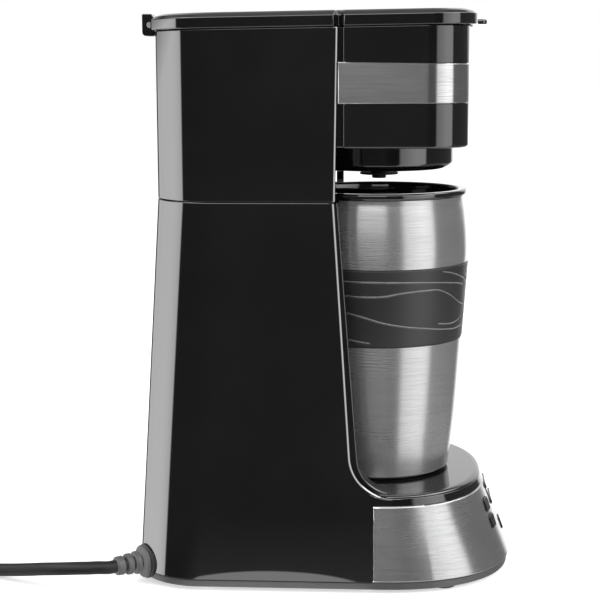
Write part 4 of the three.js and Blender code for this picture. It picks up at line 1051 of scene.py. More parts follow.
# ---------------------------------------------------------------- lid
def lid_outline(inset=0.0):
    half = HALF_WIDTH + LID_OVERHANG - inset
    corner = HEAD_CORNER + LID_OVERHANG - inset
    rear_corner = REAR_CORNER + LID_OVERHANG - inset
    side_front = -(HEAD_FRONT - HEAD_BOW + LID_FRONT_OVERHANG - inset)
    rear = TANK_REAR + LID_REAR_OVERHANG - inset
    waist = (HEAD_REAR + TANK_FRONT) / 2
    shoulder = half - corner
    right = bowed_front(shoulder, side_front, corner)
    for s in range(17):
        u = -1 + 2 * s / 16
        dip = 0.5 * (1 + math.cos(math.pi * u))
        right.append((half - LID_WAIST * dip ** 0.8, waist + 2.7 * u))
    right += polar(half - rear_corner, rear - rear_corner, rear_corner, 0, 90, 28)
    return [(0, side_front - HEAD_BOW)] + mirrored(right)


def lid():
    foot, top = GAP, GAP + LID_HEIGHT
    inner_top = top - LID_WALL - 0.6
    rings = [rim_ring(lid_outline(LID_WALL), inner_top), rim_ring(lid_outline(LID_WALL), foot + 0.3),
             rim_ring(lid_outline(LID_WALL - 0.3), foot)]
    rings += [rim_ring(lid_outline(inset), foot + rise) for inset, rise in bend(0.7, 4)]
    shape = rounded([(0, foot + 2, 0), (0, foot + LID_SIDE, 0.5), (LID_CHAMFER * 0.45, top - 0.8, 2.5),
                     (LID_CHAMFER, top, 0.6), (LID_CHAMFER + 3, top, 0)], 5, closed=False)
    rings += [rim_ring(lid_outline(inset), height) for inset, height in shape[1:]]
    thing = mesh_object("hinged_lid", [skin(rings)])
    half = KNUCKLE_SPAN / 2
    for side in (-1, 1):
        x0, x1 = sorted((side * half, side * (HINGE_SPAN / 2 + 0.4)))
        carve(thing, block(x0, x1, TANK_REAR - 2.6, HINGE_Y + 20, RIM_Z - 5, RIM_Z + 20, 0.1))
    return thing


def lid_knuckle():
    half = KNUCKLE_SPAN / 2
    barrel = rod(HINGE_BARREL, (-half, HINGE_Y, HINGE_Z), (half, HINGE_Y, HINGE_Z), 0.5, bore=1.8)
    web = block(-half + 0.1, half - 0.1, TANK_REAR - 1, HINGE_Y - 1.9, RIM_Z + GAP + 0.1,
                HINGE_Z + HINGE_BARREL - 0.4, 0.5)
    return [barrel, web]


def finger_tab():
    front = -(HEAD_FRONT + LID_FRONT_OVERHANG)
    height = RIM_Z + GAP + rise(-HEAD_FRONT) + LID_SIDE * 0.4
    width, reach, thick = 24, 4.3, 2.4

    def outline(inset=0.0):
        r = 2.6 - inset
        x, y0, y1 = width / 2 - inset, front - reach + inset, front + 3
        return (polar(x - r, y0 + r, r, -90, 0, 6) + [(x, y1), (-x, y1)]
                + polar(-x + r, y0 + r, r, 180, 270, 6))

    return cushion(outline, height - thick / 2, height + thick / 2, 0.9, 5)


# ---------------------------------------------------------------- basket and outlet
BASKET_SPIGOT = 36
CONE_LOW = edges("filter_basket")[0][2] + 0.4
SPIGOT_LOW = CONE_LOW + 3.0
BASKET_TOP = edges("filter_basket")[1][2]
NOZZLE_LOW = edges("outlet_nozzle")[0][2]


def filter_basket():
    w = 2
    ledge = HEAD_BOTTOM + WALL + GAP
    outside = [(4.1, CONE_LOW - 0.4, 0), (9.6, CONE_LOW, 0), (BASKET_SPIGOT - 3.2, SPIGOT_LOW - 1.6, 6),
               (BASKET_SPIGOT, SPIGOT_LOW + 0.8, 2.2), (BASKET_SPIGOT, ledge, 0), (38.6, ledge, 0.3),
               (39.9, BASKET_TOP, 0.6)]
    inside = [(39.9 - w, BASKET_TOP, 0.6), (38.6 - w, ledge + w, 1), (BASKET_SPIGOT - w, ledge + w - 0.4, 1),
              (BASKET_SPIGOT - w, SPIGOT_LOW + w, 2), (12, CONE_LOW + w, 0), (4.1, CONE_LOW + w - 0.4, 0)]
    return lathe(rounded(outside + inside, 6), 160)


def outlet_nozzle():
    """Outlet clipped through the basket's floor, with its drip collar."""
    under = CONE_LOW - 0.4
    disc = under - 0.6
    return lathe(rounded([
        (1.8, NOZZLE_LOW, 0.3), (3.4, NOZZLE_LOW, 0.5), (3.4, disc - 1.1, 0.4), (9.3, disc - 0.9, 0.4),
        (9.3, disc, 0.2), (3.8, disc, 0), (3.8, under + 2.3, 0), (5.5, under + 2.3, 0.2),
        (5.5, under + 3.5, 0.4), (1.8, under + 3.5, 0.2)], 5), 96)


# ---------------------------------------------------------------- travel mug
RIM_RING = 3
RIM_RADIUS = 42.7
MUG_WIDEST = 43.8
SLEEVE_LOW = 65.6
SLEEVE_HIGH = 102.2
SLEEVE_LOW_R = 41.0
MUG_BASE = 34.9
STEEL_TOP = MUG_HEIGHT - RIM_RING - GAP
NECK = RIM_RADIUS - 1.5


def on_mug(profile):
    return [(r, z + MUG_FOOT) for r, z in profile]


def mug_shell():
    lower = through([(MUG_BASE, 2.6), (MUG_BASE + 2.6, SLEEVE_LOW - 41.4),
                     (MUG_BASE + 4.3, SLEEVE_LOW - 21.1), (SLEEVE_LOW_R - 0.3, SLEEVE_LOW - GAP)], 10)
    upper = through([(MUG_WIDEST - 0.6, SLEEVE_HIGH + GAP), (MUG_WIDEST - 0.45, STEEL_TOP - 26),
                     (MUG_WIDEST - 0.9, STEEL_TOP - 16), (NECK + 0.6, STEEL_TOP - 6.4),
                     (NECK - 0.1, STEEL_TOP - 2), (NECK, STEEL_TOP)], 8)
    seat_low, seat_high = SLEEVE_LOW_R - 2, MUG_WIDEST - 2
    foot = rounded([(0, 0.9, 0), (MUG_BASE - 0.2, 0.9, 1.6), (MUG_BASE, 2.6, 0)], 6, closed=False)
    inside = [(NECK - 1, STEEL_TOP), (NECK - 0.5, STEEL_TOP - 6.4), (seat_high - 1, SLEEVE_HIGH - 2),
              (seat_low - 1, SLEEVE_LOW), (MUG_BASE + 1.6, SLEEVE_LOW - 41.4), (MUG_BASE - 1, 3.2), (0, 2)]
    profile = foot[:-1] + lower + [(seat_low, SLEEVE_LOW - GAP), (seat_high, SLEEVE_HIGH + GAP)]
    return lathe(on_mug(profile + upper + inside), 192)


def mug_liner():
    """Black liner that rolls over the steel as the mug's rim."""
    lip = RIM_RADIUS - 4.4
    throat = NECK - 1.9
    belly = MUG_WIDEST - 5.9
    waist = belly - 1.4
    floor = MUG_BASE - 1.7
    s, high = 1.6, MUG_HEIGHT
    corners = [(0, 5, 0), (floor - 1.7, 5, 1), (floor, 7, 1), (waist, SLEEVE_LOW - 21.1, 20),
               (belly, SLEEVE_HIGH - 6, 20), (throat, STEEL_TOP - 16.4, 10), (throat, high - RIM_RING, 0),
               (RIM_RADIUS - 0.5, high - RIM_RING, 0.5), (RIM_RADIUS, high - RIM_RING + 0.9, 0.6),
               (RIM_RADIUS, high, 1.2), (lip, high, 1.3), (lip - 0.2, high - 3, 1),
               (throat - s, STEEL_TOP - 6, 5), (belly - s, SLEEVE_HIGH - 6, 20),
               (waist - s, SLEEVE_LOW - 21.1, 20), (floor - s, 8, 3), (floor - s - 3, 6.6, 2), (0, 6.6, 0)]
    return lathe(on_mug(rounded(corners, 6)), 192)


# Grip grooves: points of (turn in degrees from the side that faces -x, positive towards the front;
# height above the sleeve's lower edge). Below a groove its lip slopes back over LIP_REACH.
GROOVES = [
    [(-180, 31.5), (-120, 32.6), (-60, 32.3), (-23, 31.8), (0, 31.6), (30, 30.9), (62, 28.4), (75, 26.6)],
    [(-178, 20), (-130, 24), (-80, 26.5), (-45, 25.8), (-24, 24.9), (2, 24.8), (15, 26.2), (28, 26.9),
     (42, 26.6), (54, 23.4), (68, 18.6), (84, 16.0)],
    [(44, 35.2), (54, 33.9), (72, 30.4), (90, 26.7), (115, 23.5), (150, 22.5), (178, 19.5)],
    [(-150, 22.5), (-110, 19.8), (-70, 18.6), (-40, 18.0), (-23, 17.1), (-10, 15.2), (2, 12.6), (15, 10.6),
     (32, 8.8), (50, 7.0), (68, 6.2), (95, 7.4), (130, 11.5)],
    [(42, 10.4), (56, 9.2), (68, 9.9), (81, 12.8), (98, 17.6), (125, 20.4), (160, 20.6), (180, 21.2)],
    [(-150, 9.5), (-110, 6.6), (-70, 5.8), (-40, 5.0), (-22, 4.1), (-3, 2.2)],
    [(-178, 6.0), (-150, 4.2), (-125, 2.8), (-100, 2.2)],
    [(110, 4.0), (135, 5.5), (160, 7.6), (180, 9.2)],
]
SLEEVE_MIDDLE_R = 42
GROOVE_WIDTH = 0.2
GROOVE_DEPTH = 0.55
LIP_REACH = 1.0


def groove_heights(points):
    """Groove as closely spaced (turn, height, share of its full depth); it fades in at both ends."""
    line = through(points, 24)
    length, fade_steps = len(line), 14
    out = []
    for i, (turn, height) in enumerate(line):
        out.append((turn, height, min(1.0, i / fade_steps, (length - 1 - i) / fade_steps)))
    return out


def even_turns(count):
    return [-180 + 360 * (i + 0.5) / count for i in range(count)]


def groove_table(turns):
    """For each turn of the sleeve, the (height, depth, slope) of the grooves that cross it."""
    table = []
    lines = [groove_heights(points) for points in GROOVES]
    for turn in turns:
        found = []
        for line in lines:
            for (a, ha, fa), (b, hb, fb) in zip(line, line[1:]):
                if a <= turn < b:
                    t = (turn - a) / (b - a)
                    slope = (hb - ha) / ((b - a) * math.pi / 180 * SLEEVE_MIDDLE_R)
                    found.append((ha + (hb - ha) * t, fa + (fb - fa) * t, math.hypot(1, slope)))
                    break
        table.append(found)
    return table


def mug_sleeve():
    tall = SLEEVE_HIGH - SLEEVE_LOW
    around, up = 480, 190
    turns = even_turns(around)
    table = groove_table(turns)

    def ring_at(radius, z, grooved=False):
        ring = []
        for turn, lines in zip(turns, table):
            r = radius
            if grooved:
                for height, fade, stretch in lines:
                    off = (z - height) / stretch
                    if -LIP_REACH < off <= 0:
                        r -= GROOVE_DEPTH * fade * (1 + off / LIP_REACH)
                    elif 0 < off < GROOVE_WIDTH:
                        r -= GROOVE_DEPTH * fade * (1 - off / GROOVE_WIDTH)
            a = math.radians(turn)
            ring.append((-r * math.cos(a), -r * math.sin(a), MUG_FOOT + SLEEVE_LOW + z))
        return ring

    def radius_at(z):
        return SLEEVE_LOW_R + (MUG_WIDEST - 0.15 - SLEEVE_LOW_R) * z / tall

    heights = [0.4 + (tall - 0.8) * i / up for i in range(up + 1)]
    lower = [ring_at(SLEEVE_LOW_R - inset, z) for inset, z in ((1.7, 0), (0.5, 0), (0.15, 0.18))]
    upper = [ring_at(MUG_WIDEST - inset, z) for inset, z in ((0.3, tall - 0.18), (0.65, tall), (1.7, tall))]
    return skin(lower + [ring_at(radius_at(z), z, True) for z in heights] + upper, wrap=True)


def mug_pad():
    radius = MUG_BASE - 1.9
    return lathe(on_mug(rounded([(0, 0, 0), (radius, 0, 0.25), (radius, 0.6, 0.2), (0, 0.6, 0)], 3)), 96)


# ---------------------------------------------------------------- cord
CORD_Z = 10.5
CORD_ANGLE = math.radians(125)
CORD_OUT = Vector((math.cos(CORD_ANGLE), math.sin(CORD_ANGLE), 0))
CORNER_MIDDLE = Vector((-(HALF_WIDTH - REAR_CORNER), rear_at(CORD_Z) - REAR_CORNER, CORD_Z))
CORD_EXIT = CORNER_MIDDLE + CORD_OUT * REAR_CORNER
CORD_LIE = CORD_RADIUS + 0.1
COIL_X = -3.6
COIL_Y = 242
COIL_TURN = 34
TOP_TURN = CORD_LIE + 2 * CORD_RADIUS
OUTER_TURN = COIL_TURN + CORD_RADIUS
INNER_TURN = COIL_TURN - CORD_RADIUS
LEAVE_Y = COIL_Y + OUTER_TURN
TAIL_END = COIL_X + 27


def along_cord(distance):
    return tuple(CORD_EXIT + CORD_OUT * distance)


def cord_points():
    """Route of the cord: from the casing, down to the table, into its coil and out to the plug."""
    arrive = COIL_X - OUTER_TURN
    route = [
        along_cord(0), along_cord(8), along_cord(17), along_cord(20.7), (-59.8, 131, 10.9),
        (-60.7, 135.7, 10.9), (-60.7, 141.4, 10.7), (-59.8, 147.3, 10.1), (-58, 153, 9.3),
        (-55.6, 158.9, 8.3), (-53, 164.9, 7.1), (-50.2, 171, 5.9), (-47.4, 177.2, 4.8),
        (-45, 183.2, 3.9), (-43.1, 189, 3.4), (-41.7, 195, CORD_LIE), (-41, 201, CORD_LIE),
        (arrive, 208, CORD_LIE), (arrive, 215, CORD_LIE), (arrive, 222, CORD_LIE), (arrive, 230, CORD_LIE),
    ]
    # each stretch of the coil: turns, radius and height at its end
    stretches = [(0.8, OUTER_TURN, CORD_LIE), (0.2, INNER_TURN, CORD_LIE), (0.8, INNER_TURN, CORD_LIE),
                 (0.2, INNER_TURN, TOP_TURN), (0.8, INNER_TURN, TOP_TURN), (0.2, OUTER_TURN, TOP_TURN),
                 (0.25, OUTER_TURN, TOP_TURN)]
    steps_a_turn = 24
    turned, radius, height = 0.0, OUTER_TURN, CORD_LIE
    route.append((COIL_X - radius, COIL_Y, height))
    for turns, to_radius, to_height in stretches:
        steps = max(2, round(turns * steps_a_turn))
        for s in range(1, steps + 1):
            share = s / steps
            ease = share * share * (3 - 2 * share)
            a = math.pi - 2 * math.pi * (turned + turns * share)
            r = radius + (to_radius - radius) * ease
            z = height + (to_height - height) * ease
            route.append((COIL_X + r * math.cos(a), COIL_Y + r * math.sin(a), z))
        turned, radius, height = turned + turns, to_radius, to_height
    return route + [(x, LEAVE_Y, TOP_TURN) for x in (COIL_X + 9, COIL_X + 18, TAIL_END + 6)]


def cord_curve():
    points = [row(*p) for p in cord_points()]
    curve = bpy.data.curves.new("mains_cord", "CURVE")
    curve.dimensions = "3D"
    curve.bevel_depth = CORD_RADIUS * MM
    curve.bevel_resolution = 6
    curve.resolution_u = 4
    curve.use_fill_caps = True
    spline = curve.splines.new("BEZIER")
    spline.bezier_points.add(len(points) - 1)
    for handle, place in zip(spline.bezier_points, points):
        handle.co = place
        handle.handle_left_type = handle.handle_right_type = "AUTO"
    thing = bpy.data.objects.new("mains_cord", curve)
    bpy.context.scene.collection.objects.link(thing)
    length = sum((b - a).length for a, b in zip(points, points[1:]))
    return thing, length


def cord_frame():
    turn = Vector((0, 0, 1)).rotation_difference(CORD_OUT).to_matrix().to_4x4()
    return Matrix.Translation(CORD_EXIT) @ turn


def strain_relief():
    """Moulded relief: flange on the casing and ribs that thin out along the cord."""
    profile = rounded([
        (3.15, -9, 0), (3.9, -9, 0.3), (3.9, 0.4, 0), (8.3, 0.4, 0.2), (8.3, 1.9, 0.2), (7.2, 2.0, 0.1),
        (7.2, 2.3, 0.1), (7.9, 2.4, 0.3), (7.6, 3.6, 0.6), (3.4, 4.1, 0.3),
        (3.4, 5.0, 0.3), (5.6, 5.2, 0.6), (5.4, 7.6, 0.6), (3.4, 7.8, 0.3), (3.4, 9.0, 0.3), (5.1, 9.2, 0.6),
        (5.0, 11.8, 0.6), (3.4, 12.0, 0.3), (3.4, 13.3, 0.3), (4.6, 13.5, 0.6), (4.4, 17.0, 0.7),
        (3.15, 17.2, 0)], 4)
    points, faces = lathe(profile, 48)
    level = Vector((-CORD_OUT.y, CORD_OUT.x))
    fitted = []
    for x, y, along in points:
        # the collar follows the casing's rounded corner
        if math.hypot(x, y) > 6 and along < 2.05:
            reach = min(abs(Vector((x, y)).dot(level)), REAR_CORNER)
            along -= REAR_CORNER - math.sqrt(REAR_CORNER ** 2 - reach ** 2)
        fitted.append((x, y, along))
    return moved((fitted, faces), cord_frame())


def cord_tie():
    """Twist tie pinched round the coil's turns."""
    half, thick = 2 * CORD_RADIUS + 0.5, 0.5
    x, low, high = COIL_X + COIL_TURN, 0.15, 0.15 + 4 * CORD_RADIUS + 0.5

    def band(wide, bottom, top, low_round, high_round):
        return rounded([(-wide, bottom, low_round), (wide, bottom, low_round),
                        (wide, top, high_round), (-wide, top, high_round)], 6)

    section = []
    outer = band(half + thick, low, high + thick, 2.2, 2.6)
    inner = band(half, low + 0.2, high, 2.0, 2.2)
    for y in (COIL_Y - 3, COIL_Y - 2.7, COIL_Y + 2.7, COIL_Y + 3):
        inset = 0.12 if abs(y - COIL_Y) > 2.9 else 0
        section.append([(x + a * (1 - inset / half), y, b) for a, b in outer])
    back = [[(x + a, y, b) for a, b in inner] for y in (COIL_Y + 3, COIL_Y - 3)]
    return skin(section + back, wrap=True)


def eased(points, steps):
    """Steps between (place, wide, tall) stations, with level starts and ends."""
    out = []
    for (a0, b0, c0), (a1, b1, c1) in zip(points, points[1:]):
        for s in range(steps):
            t = s / steps
            e = t * t * (3 - 2 * t)
            out.append((a0 + (a1 - a0) * t, b0 + (b1 - b0) * e, c0 + (c1 - c0) * e))
    return out + [points[-1]]


def plug():
    """Two-pin plug with grip ribs, lying beside the coil."""
    stations = [(0, 4.2, 4.2), (1, 4.6, 4.6), (6, 5.0, 5.0), (12, 6.2, 5.8), (16, 9.2, 7.6), (18, 10.6, 8.6),
                (20, 11, 9), (22.5, 10.5, 8.7), (24, 10.9, 9), (25.5, 10.5, 8.7), (27, 10.9, 9),
                (28.5, 10.5, 8.7), (30, 10.9, 9), (33, 11, 9), (37, 10.8, 8.8), (39.4, 10.4, 8.4),
                (40, 9.6, 7.6)]
    turns = [2 * math.pi * i / 48 for i in range(48)]

    def swell(radius, value, power):
        return radius * math.copysign(abs(value) ** power, value)

    rings = []
    for at, wide, tall in eased(stations, 3):
        power = 0.62 if at > 14 else 1.0 - 0.38 * max(0.0, at - 6) / 8 if at > 6 else 1.0
        rings.append([(TAIL_END + GAP + at, LEAVE_Y + swell(wide, math.cos(a), power),
                       TOP_TURN + swell(tall, math.sin(a), power)) for a in turns])
    return skin(rings)


# strain relief: end of its dark collar, radius of the gaps between ribs, which are darkened as painted shade,
# and where the last gap ends
COLLAR_END = 2.2
GAP_RADIUS = 4.2
LAST_GAP = 14


def dark_collar_and_rib_shade(across, y, z, normal):
    """The relief's dark collar against the casing, and the gaps between its ribs darkened as painted shade.
    """
    place = Vector((across, y, z)) - CORD_EXIT
    along = place.dot(CORD_OUT)
    return along < COLLAR_END or (place - CORD_OUT * along).length < GAP_RADIUS and along < LAST_GAP


# the cord comes first: it is laid from the casing into its coil
cord, cord_length = cord_curve()
cord.data.materials.append(CORD_BLACK)
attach(cord, "machine")
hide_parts("cord", "cord_coil", "cord_tail")
relief_piece = piece("cord_relief", [strain_relief()], RELIEF_RUBBER, "machine",
                     ["strain_relief"])
# the collar, and the gaps between the ribs as painted shade, take the cord's black
second_finish(relief_piece, CORD_BLACK, dark_collar_and_rib_shade)
tie_piece = piece("coil_tie", [cord_tie()], CORD_BLACK, "machine", ["cord_tie"])
plug_piece = piece("mains_plug", [plug()], CORD_BLACK, "machine", ["plug"])


# ---------------------------------------------------------------- pieces
GLASS = plastic("smoked_window", (0.006, 0.007, 0.008), (0.009, 0.010, 0.012), 0.06, haze=0.03)
BUTTON_BLACK = plastic("button_black", (0.005, 0.005, 0.0052), (0.008, 0.008, 0.0083), 0.14, haze=0.05)
BRASS = brushed("plug_blade_brass", (0.6, 0.44, 0.16), (0.75, 0.58, 0.26), 0.28)

# Faces of a piece that take its second finish.
SIDEWAYS = 0.985
TURNED = 0.1
SIDE_SKIN = 2
FLANK_FRONT = -22


def on_round(across, normal):
    """In a side wall's outer skin and turned away from straight sideways."""
    return abs(normal.x) < SIDEWAYS and abs(across) > HALF_WIDTH - SIDE_SKIN


def on_column_edge(across, y, z, normal):
    near_edge = COVE_Z < z < SEAM_Z - 1 and abs(y - EDGE.y_at(z)) < EDGE_ROUND + 1 and y > -2
    return on_round(across, normal) and near_edge and (normal.y < -TURNED or normal.z > TURNED)


def on_tank_nose(across, y, z, normal):
    return on_round(across, normal) and y < TANK_FRONT + 3 and normal.y < -TURNED


def on_trim_edge(across, y, z, normal):
    """Lower and rear edge, and the upper edge as far as the trim's flank reaches: coloured near white as a
    painted highlight.
    """
    upper = z > TRIM_HIGH - TRIM_EDGE and y > FLANK_FRONT
    return upper or z < TRIM_LOW + TRIM_EDGE or y > TRIM_REAR - TRIM_EDGE


# bands under the grooves that are coloured lighter as a painted highlight
LIP_CROSSINGS = groove_table(even_turns(720))
LIP_BAND = (-0.5, 0.02)
LIP_FADE = 0.3


def on_groove_lip(x, y, z, normal):
    """The band just under a groove, coloured lighter as a painted highlight on its lip."""
    turn = math.atan2(-y, -x) / (2 * math.pi) + 0.5
    crossings = LIP_CROSSINGS[int(turn * len(LIP_CROSSINGS)) % len(LIP_CROSSINGS)]
    low, high = LIP_BAND
    return any(fade > LIP_FADE and low < (z - MUG_FOOT - SLEEVE_LOW - height) / stretch < high
               for height, fade, stretch in crossings)


casing = lower_case()
carve(casing, *control_holes(9), rod(4.3, along_cord(-12), along_cord(6), 0.05))
finish_piece(casing, GLOSS, "machine", ["lower_case"])
# the rounding of the column edge takes the stronger-reflecting black as a painted highlight
second_finish(casing, EDGE_HIGHLIGHT_GLOSS, on_column_edge)

trim = mesh_object("brushed_base_trim", [base_trim()])
carve(trim, *control_holes(4))
finish_piece(trim, TRIM_STEEL, "machine", ["base_trim"])
# the trim's edges take near-white steel as a painted highlight
second_finish(trim, TRIM_EDGE_HIGHLIGHT, on_trim_edge)

piece("lining_and_deck", [deck(), lining_hollow(), lining_wing(-1), lining_wing(1)], LINING, "machine",
      ["column_lining"])

underside = base_plate()
finish_piece(underside, PLATE, "machine", ["base_plate"])
for foot_node, screw_node in zip(FEET, SCREWS):
    piece("rubber_" + foot_node, [foot(foot_node)], RUBBER, "machine", [foot_node])
    finish_piece(screw(screw_node), STEEL, "machine", [screw_node])

for node, x, height in BUTTONS:
    piece(node + "_cap", [button(x, height)], BUTTON_BLACK, node + "_body", [node])
piece("clock_window", display_window(), GLASS, "machine", ["display_window"])

tank = piece("tank_casing", tank_case(), GLOSS, "machine", ["tank_case"])
# the tank's nose takes the stronger-reflecting black as a painted highlight
second_finish(tank, EDGE_HIGHLIGHT_GLOSS, on_tank_nose)
lugs = mesh_object("hinge_lugs", hinge_lugs())
carve(lugs, rod(1.7, (-HINGE_SPAN, HINGE_Y, HINGE_Z), (HINGE_SPAN, HINGE_Y, HINGE_Z), 0.1, 32))
finish_piece(lugs, GLOSS, "machine")
piece("head_casing", [head_case()], GLOSS, "machine", ["head_case"])
piece("brushed_head_band", [head_band()], BAND_STEEL, "machine", ["head_band"])

cover = lid()
finish_piece(cover, GLOSS, "lid", ["lid"])
piece("lid_knuckle", lid_knuckle(), GLOSS, "lid")
piece("lid_finger_tab", [finger_tab()], GLOSS, "lid")

piece("brew_basket", [filter_basket()], GLOSS, "machine", ["filter_basket"])
piece("drip_outlet", [outlet_nozzle()], MATT, "machine", ["outlet_nozzle"])

piece("mug_steel", [mug_shell()], STEEL, "mug", ["mug_shell"], even=False)
piece("mug_rim_and_liner", [mug_liner()], GLOSS, "mug", ["mug_liner"], even=False)
sleeve = piece("mug_grip_sleeve", [mug_sleeve()], RUBBER, "mug", ["mug_sleeve"], sharp=60,
               even=False)
# the lips under the grooves take a lighter rubber as a painted highlight
second_finish(sleeve, GROOVE_LIP_HIGHLIGHT, on_groove_lip)
piece("mug_foot_pad", [mug_pad()], RUBBER, "mug", ["mug_pad"])

# CAD nodes that stay as they are and take a finish
BLADES = ["plug_blade_1", "plug_blade_2"]
SILICONE = plastic("white_silicone", (0.55, 0.54, 0.5), (0.68, 0.66, 0.62), 0.5, haze=0.1)
NODE_FINISHES = [
    (plastic("smoke_tank", (0.03, 0.032, 0.034), (0.045, 0.048, 0.05), 0.16), ["reservoir"]),
    (plastic("filter_mesh", (0.06, 0.06, 0.062), (0.1, 0.1, 0.102), 0.5, grain=0.0003, grain_size=1800.0),
     ["permanent_filter"]),
    (plastic("board_green", (0.008, 0.05, 0.025), (0.012, 0.07, 0.035), 0.35), ["control_board"]),
    (brushed("cast_heater", (0.4, 0.41, 0.42), (0.55, 0.56, 0.57), 0.42), ["heater"]),
    (MATT, ["display_module", "spray_arm"]),
    (CORD_BLACK, ["mains_lead"]),
    (BRASS, BLADES),
    (SILICONE, ["thermal_fuse", "cold_hose", "hot_hose", "check_valve"]),
    (STEEL, ["hinge_pin", "heater_bracket", "thermostat"] + [f"hose_clamp_{i}" for i in (1, 2, 3, 4)]),
]
for finish, nodes in NODE_FINISHES:
    for node in nodes:
        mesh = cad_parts[node].data
        mesh.materials.clear()
        mesh.materials.append(finish)


# ---------------------------------------------------------------- studio
# white patch of the floor, in metres: middle and half width in each direction
PATCH_ACROSS = (-0.060, 0.0312)
PATCH_ALONG = (0.0255, 0.0492)
PATCH_LIGHT = 2.0
FLOOR_GLOW = 0.55
AMBIENT = 0.55


def mixed(tree, share, low, high):
    """Output of a mix of two shaders."""
    return add_node(tree, "ShaderNodeMixShader", {0: share, 1: low, 2: high}).outputs[0]


def squared_away(tree, value, middle, half):
    """Square of how far a value is from the middle, in half widths."""
    away = math_node(tree, "DIVIDE", math_node(tree, "ADD", value, -middle), half)
    return math_node(tree, "MULTIPLY", away, away)


def studio_floor():
    """Pale floor. Gloss shows a white patch of it close beside the machine and the studio beyond."""
    mesh = bpy.data.meshes.new("studio_floor")
    size = 14.0
    corners = [(-size, -size, 0), (size, -size, 0), (size, size, 0), (-size, size, 0)]
    mesh.from_pydata(corners, [], [(0, 1, 2, 3)])
    floor = bpy.data.objects.new("studio_floor", mesh)
    bpy.context.scene.collection.objects.link(floor)
    material = bpy.data.materials.new("pale_floor")
    material.use_nodes = True
    tree = material.node_tree
    tree.nodes.clear()
    path = tree.nodes.new("ShaderNodeLightPath").outputs
    place = add_node(tree, "ShaderNodeSeparateXYZ",
                     {0: tree.nodes.new("ShaderNodeTexCoord").outputs["Object"]}).outputs
    away = math_node(tree, "SQRT", math_node(tree, "ADD", squared_away(tree, place["X"], *PATCH_ACROSS),
                                             squared_away(tree, place["Y"], *PATCH_ALONG)))
    patch = spread(tree, away, 0.97, 1.03, 1.0, 0.0)
    paint = add_node(tree, "ShaderNodeBsdfDiffuse", {"Color": (0.9, 0.9, 0.9, 1)}).outputs[0]
    glow = add_node(tree, "ShaderNodeEmission", {"Strength": FLOOR_GLOW}).outputs[0]
    white = add_node(tree, "ShaderNodeEmission", {"Strength": PATCH_LIGHT}).outputs[0]
    lit = add_node(tree, "ShaderNodeAddShader", {0: glow, 1: paint}).outputs[0]
    in_gloss = mixed(tree, patch, tree.nodes.new("ShaderNodeBsdfTransparent").outputs[0], white)
    seen = mixed(tree, path["Is Camera Ray"], paint, lit)
    both = mixed(tree, path["Is Glossy Ray"], seen, in_gloss)
    add_node(tree, "ShaderNodeOutputMaterial", {"Surface": both})
    mesh.materials.append(material)


# Studio as gloss sees it, at four heights: (direction in degrees, brightness). Direction 0 is the
# near side; positive turns go towards the front and negative ones towards the rear.
AT_LEVEL = [
    (-180, 0.8), (-176, 0.8), (-174, 0.04), (-152, 0.04), (-148, 1.1), (-130, 1.9), (-121, 2.5), (-106, 3.4),
    (-93, 4.1), (-83, 4.2), (-73, 3.8), (-71, 0.07), (-36, 0.07), (10, 0.08), (13, 0.04), (31, 0.04),
    (35, 1.4), (60, 2.2), (76, 2.1), (79, 0.12), (147, 0.12), (155, 1.6), (180, 1.9),
]
RAISED = [
    (-180, 1.4), (-176, 1.4), (-152, 0.1), (-125, 0.3), (-72, 0.35), (-60, 1.8),
    (10, 1.8), (12, 0.05), (30, 0.05), (33, 1.6), (60, 2.4), (76, 2.2), (79, 0.13), (136, 0.15), (143, 1.4),
    (180, 1.4),
]
BELOW = [
    (-180, 0.3), (-76, 0.3), (-73, 0.15), (12, 0.25), (14, 0.15), (31, 0.15), (35, 1.8), (74, 1.9), (79, 0.6),
    (150, 0.5), (180, 0.3),
]
OVERHEAD = [(-180, 0.35), (-130, 0.35), (-100, 5.0), (120, 5.0), (140, 0.35), (180, 0.35)]
STUDIO_PEAK = 5.0


def studio_light(tree, turn, lights):
    """Brightness round the studio at one height."""
    ramp = tree.nodes.new("ShaderNodeValToRGB")
    tree.links.new(turn, ramp.inputs["Fac"])
    stops = ramp.color_ramp.elements
    while len(stops) > 1:
        stops.remove(stops[0])
    for i, (angle, light) in enumerate(lights):
        stop = stops[0] if i == 0 else stops.new((angle + 180) / 360)
        stop.position = (angle + 180) / 360
        shade = light / STUDIO_PEAK
        stop.color = (shade, shade, shade, 1)
    return math_node(tree, "MULTIPLY", ramp.outputs["Color"], STUDIO_PEAK)


def mix_values(tree, share, low, high):
    """From low to high by share; each is a number or a node's output."""
    inputs = {"Factor": share, "A": low, "B": high}
    return add_node(tree, "ShaderNodeMix", inputs, data_type="FLOAT").outputs["Result"]


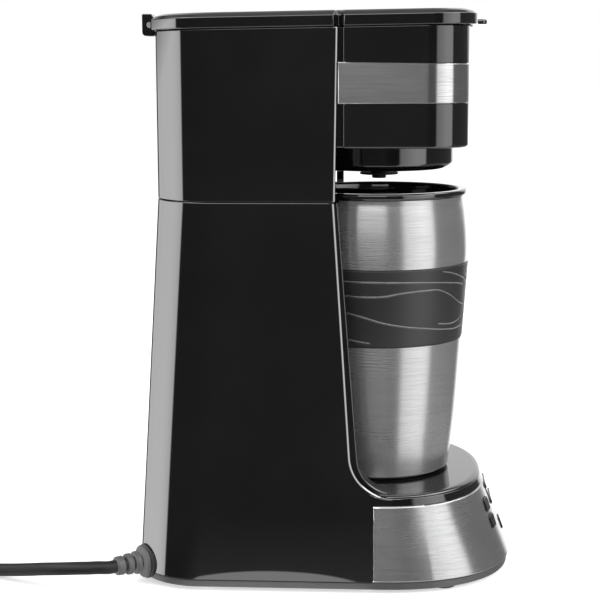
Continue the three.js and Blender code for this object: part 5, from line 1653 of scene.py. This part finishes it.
def studio_world():
    """Light all round, which gloss sees by direction and height and the rest as an even glow."""
    world = bpy.data.worlds.new("studio")
    bpy.context.scene.world = world
    world.use_nodes = True
    tree = world.node_tree
    tree.nodes.clear()
    direction = add_node(tree, "ShaderNodeSeparateXYZ",
                         {0: tree.nodes.new("ShaderNodeTexCoord").outputs["Generated"]}).outputs
    level = math_node(tree, "ARCTAN2", math_node(tree, "MULTIPLY", direction["Y"], -1.0),
                      math_node(tree, "MULTIPLY", direction["X"], -1.0))
    turn = spread(tree, level, -math.pi, math.pi)
    height = direction["Z"]
    # the far side turns light a little lower than the near side
    tipped = math_node(tree, "ADD", height, math_node(tree, "MULTIPLY", direction["X"], 0.05))
    sky = mix_values(tree, spread(tree, tipped, 0.02, 0.1), studio_light(tree, turn, AT_LEVEL),
                     studio_light(tree, turn, RAISED))
    low = math_node(tree, "MULTIPLY", spread(tree, height, -0.55, -0.45), spread(tree, height, -0.29, -0.34))
    sky = mix_values(tree, low, sky, studio_light(tree, turn, BELOW))
    sky = mix_values(tree, spread(tree, height, 0.5, 0.6), sky, studio_light(tree, turn, OVERHEAD))
    sky = mix_values(tree, spread(tree, height, 0.84, 0.9), sky, 0.5)
    sky = mix_values(tree, spread(tree, height, -0.6, -0.75), sky, 1.0)
    path = tree.nodes.new("ShaderNodeLightPath").outputs
    light = mix_values(tree, path["Is Glossy Ray"], AMBIENT, sky)
    light = mix_values(tree, path["Is Transmission Ray"], light, 1.0)
    light = mix_values(tree, path["Is Camera Ray"], light, 1.0)
    glow = add_node(tree, "ShaderNodeBackground", {"Color": (1, 1, 1, 1), "Strength": light})
    add_node(tree, "ShaderNodeOutputWorld", {"Surface": glow.outputs[0]})


def soft_lamp(name, place, aim, size, power):
    """A soft light that is itself seen neither by the camera nor in gloss."""
    data = bpy.data.lights.new(name, "AREA")
    data.shape = "RECTANGLE"
    data.size, data.size_y = size
    data.energy = power
    lamp = bpy.data.objects.new(name, data)
    lamp.location = place
    lamp.rotation_euler = (Vector(aim) - Vector(place)).to_track_quat("-Z", "Y").to_euler()
    lamp.visible_glossy = False
    lamp.visible_camera = False
    bpy.context.scene.collection.objects.link(lamp)


studio_floor()
studio_world()
# the cord and its coil lie close behind and stay out of the casing's gloss
for thing in (cord, relief_piece, tie_piece, plug_piece, *(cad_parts[node] for node in BLADES)):
    thing.visible_glossy = False
soft_lamp("front_softbox", (-0.9, -1.1, 0.9), (0, 0, 0.12), (0.9, 0.9), 16)
soft_lamp("top_softbox", (0.1, 0.1, 1.6), (0, 0, 0), (1.6, 1.6), 14)
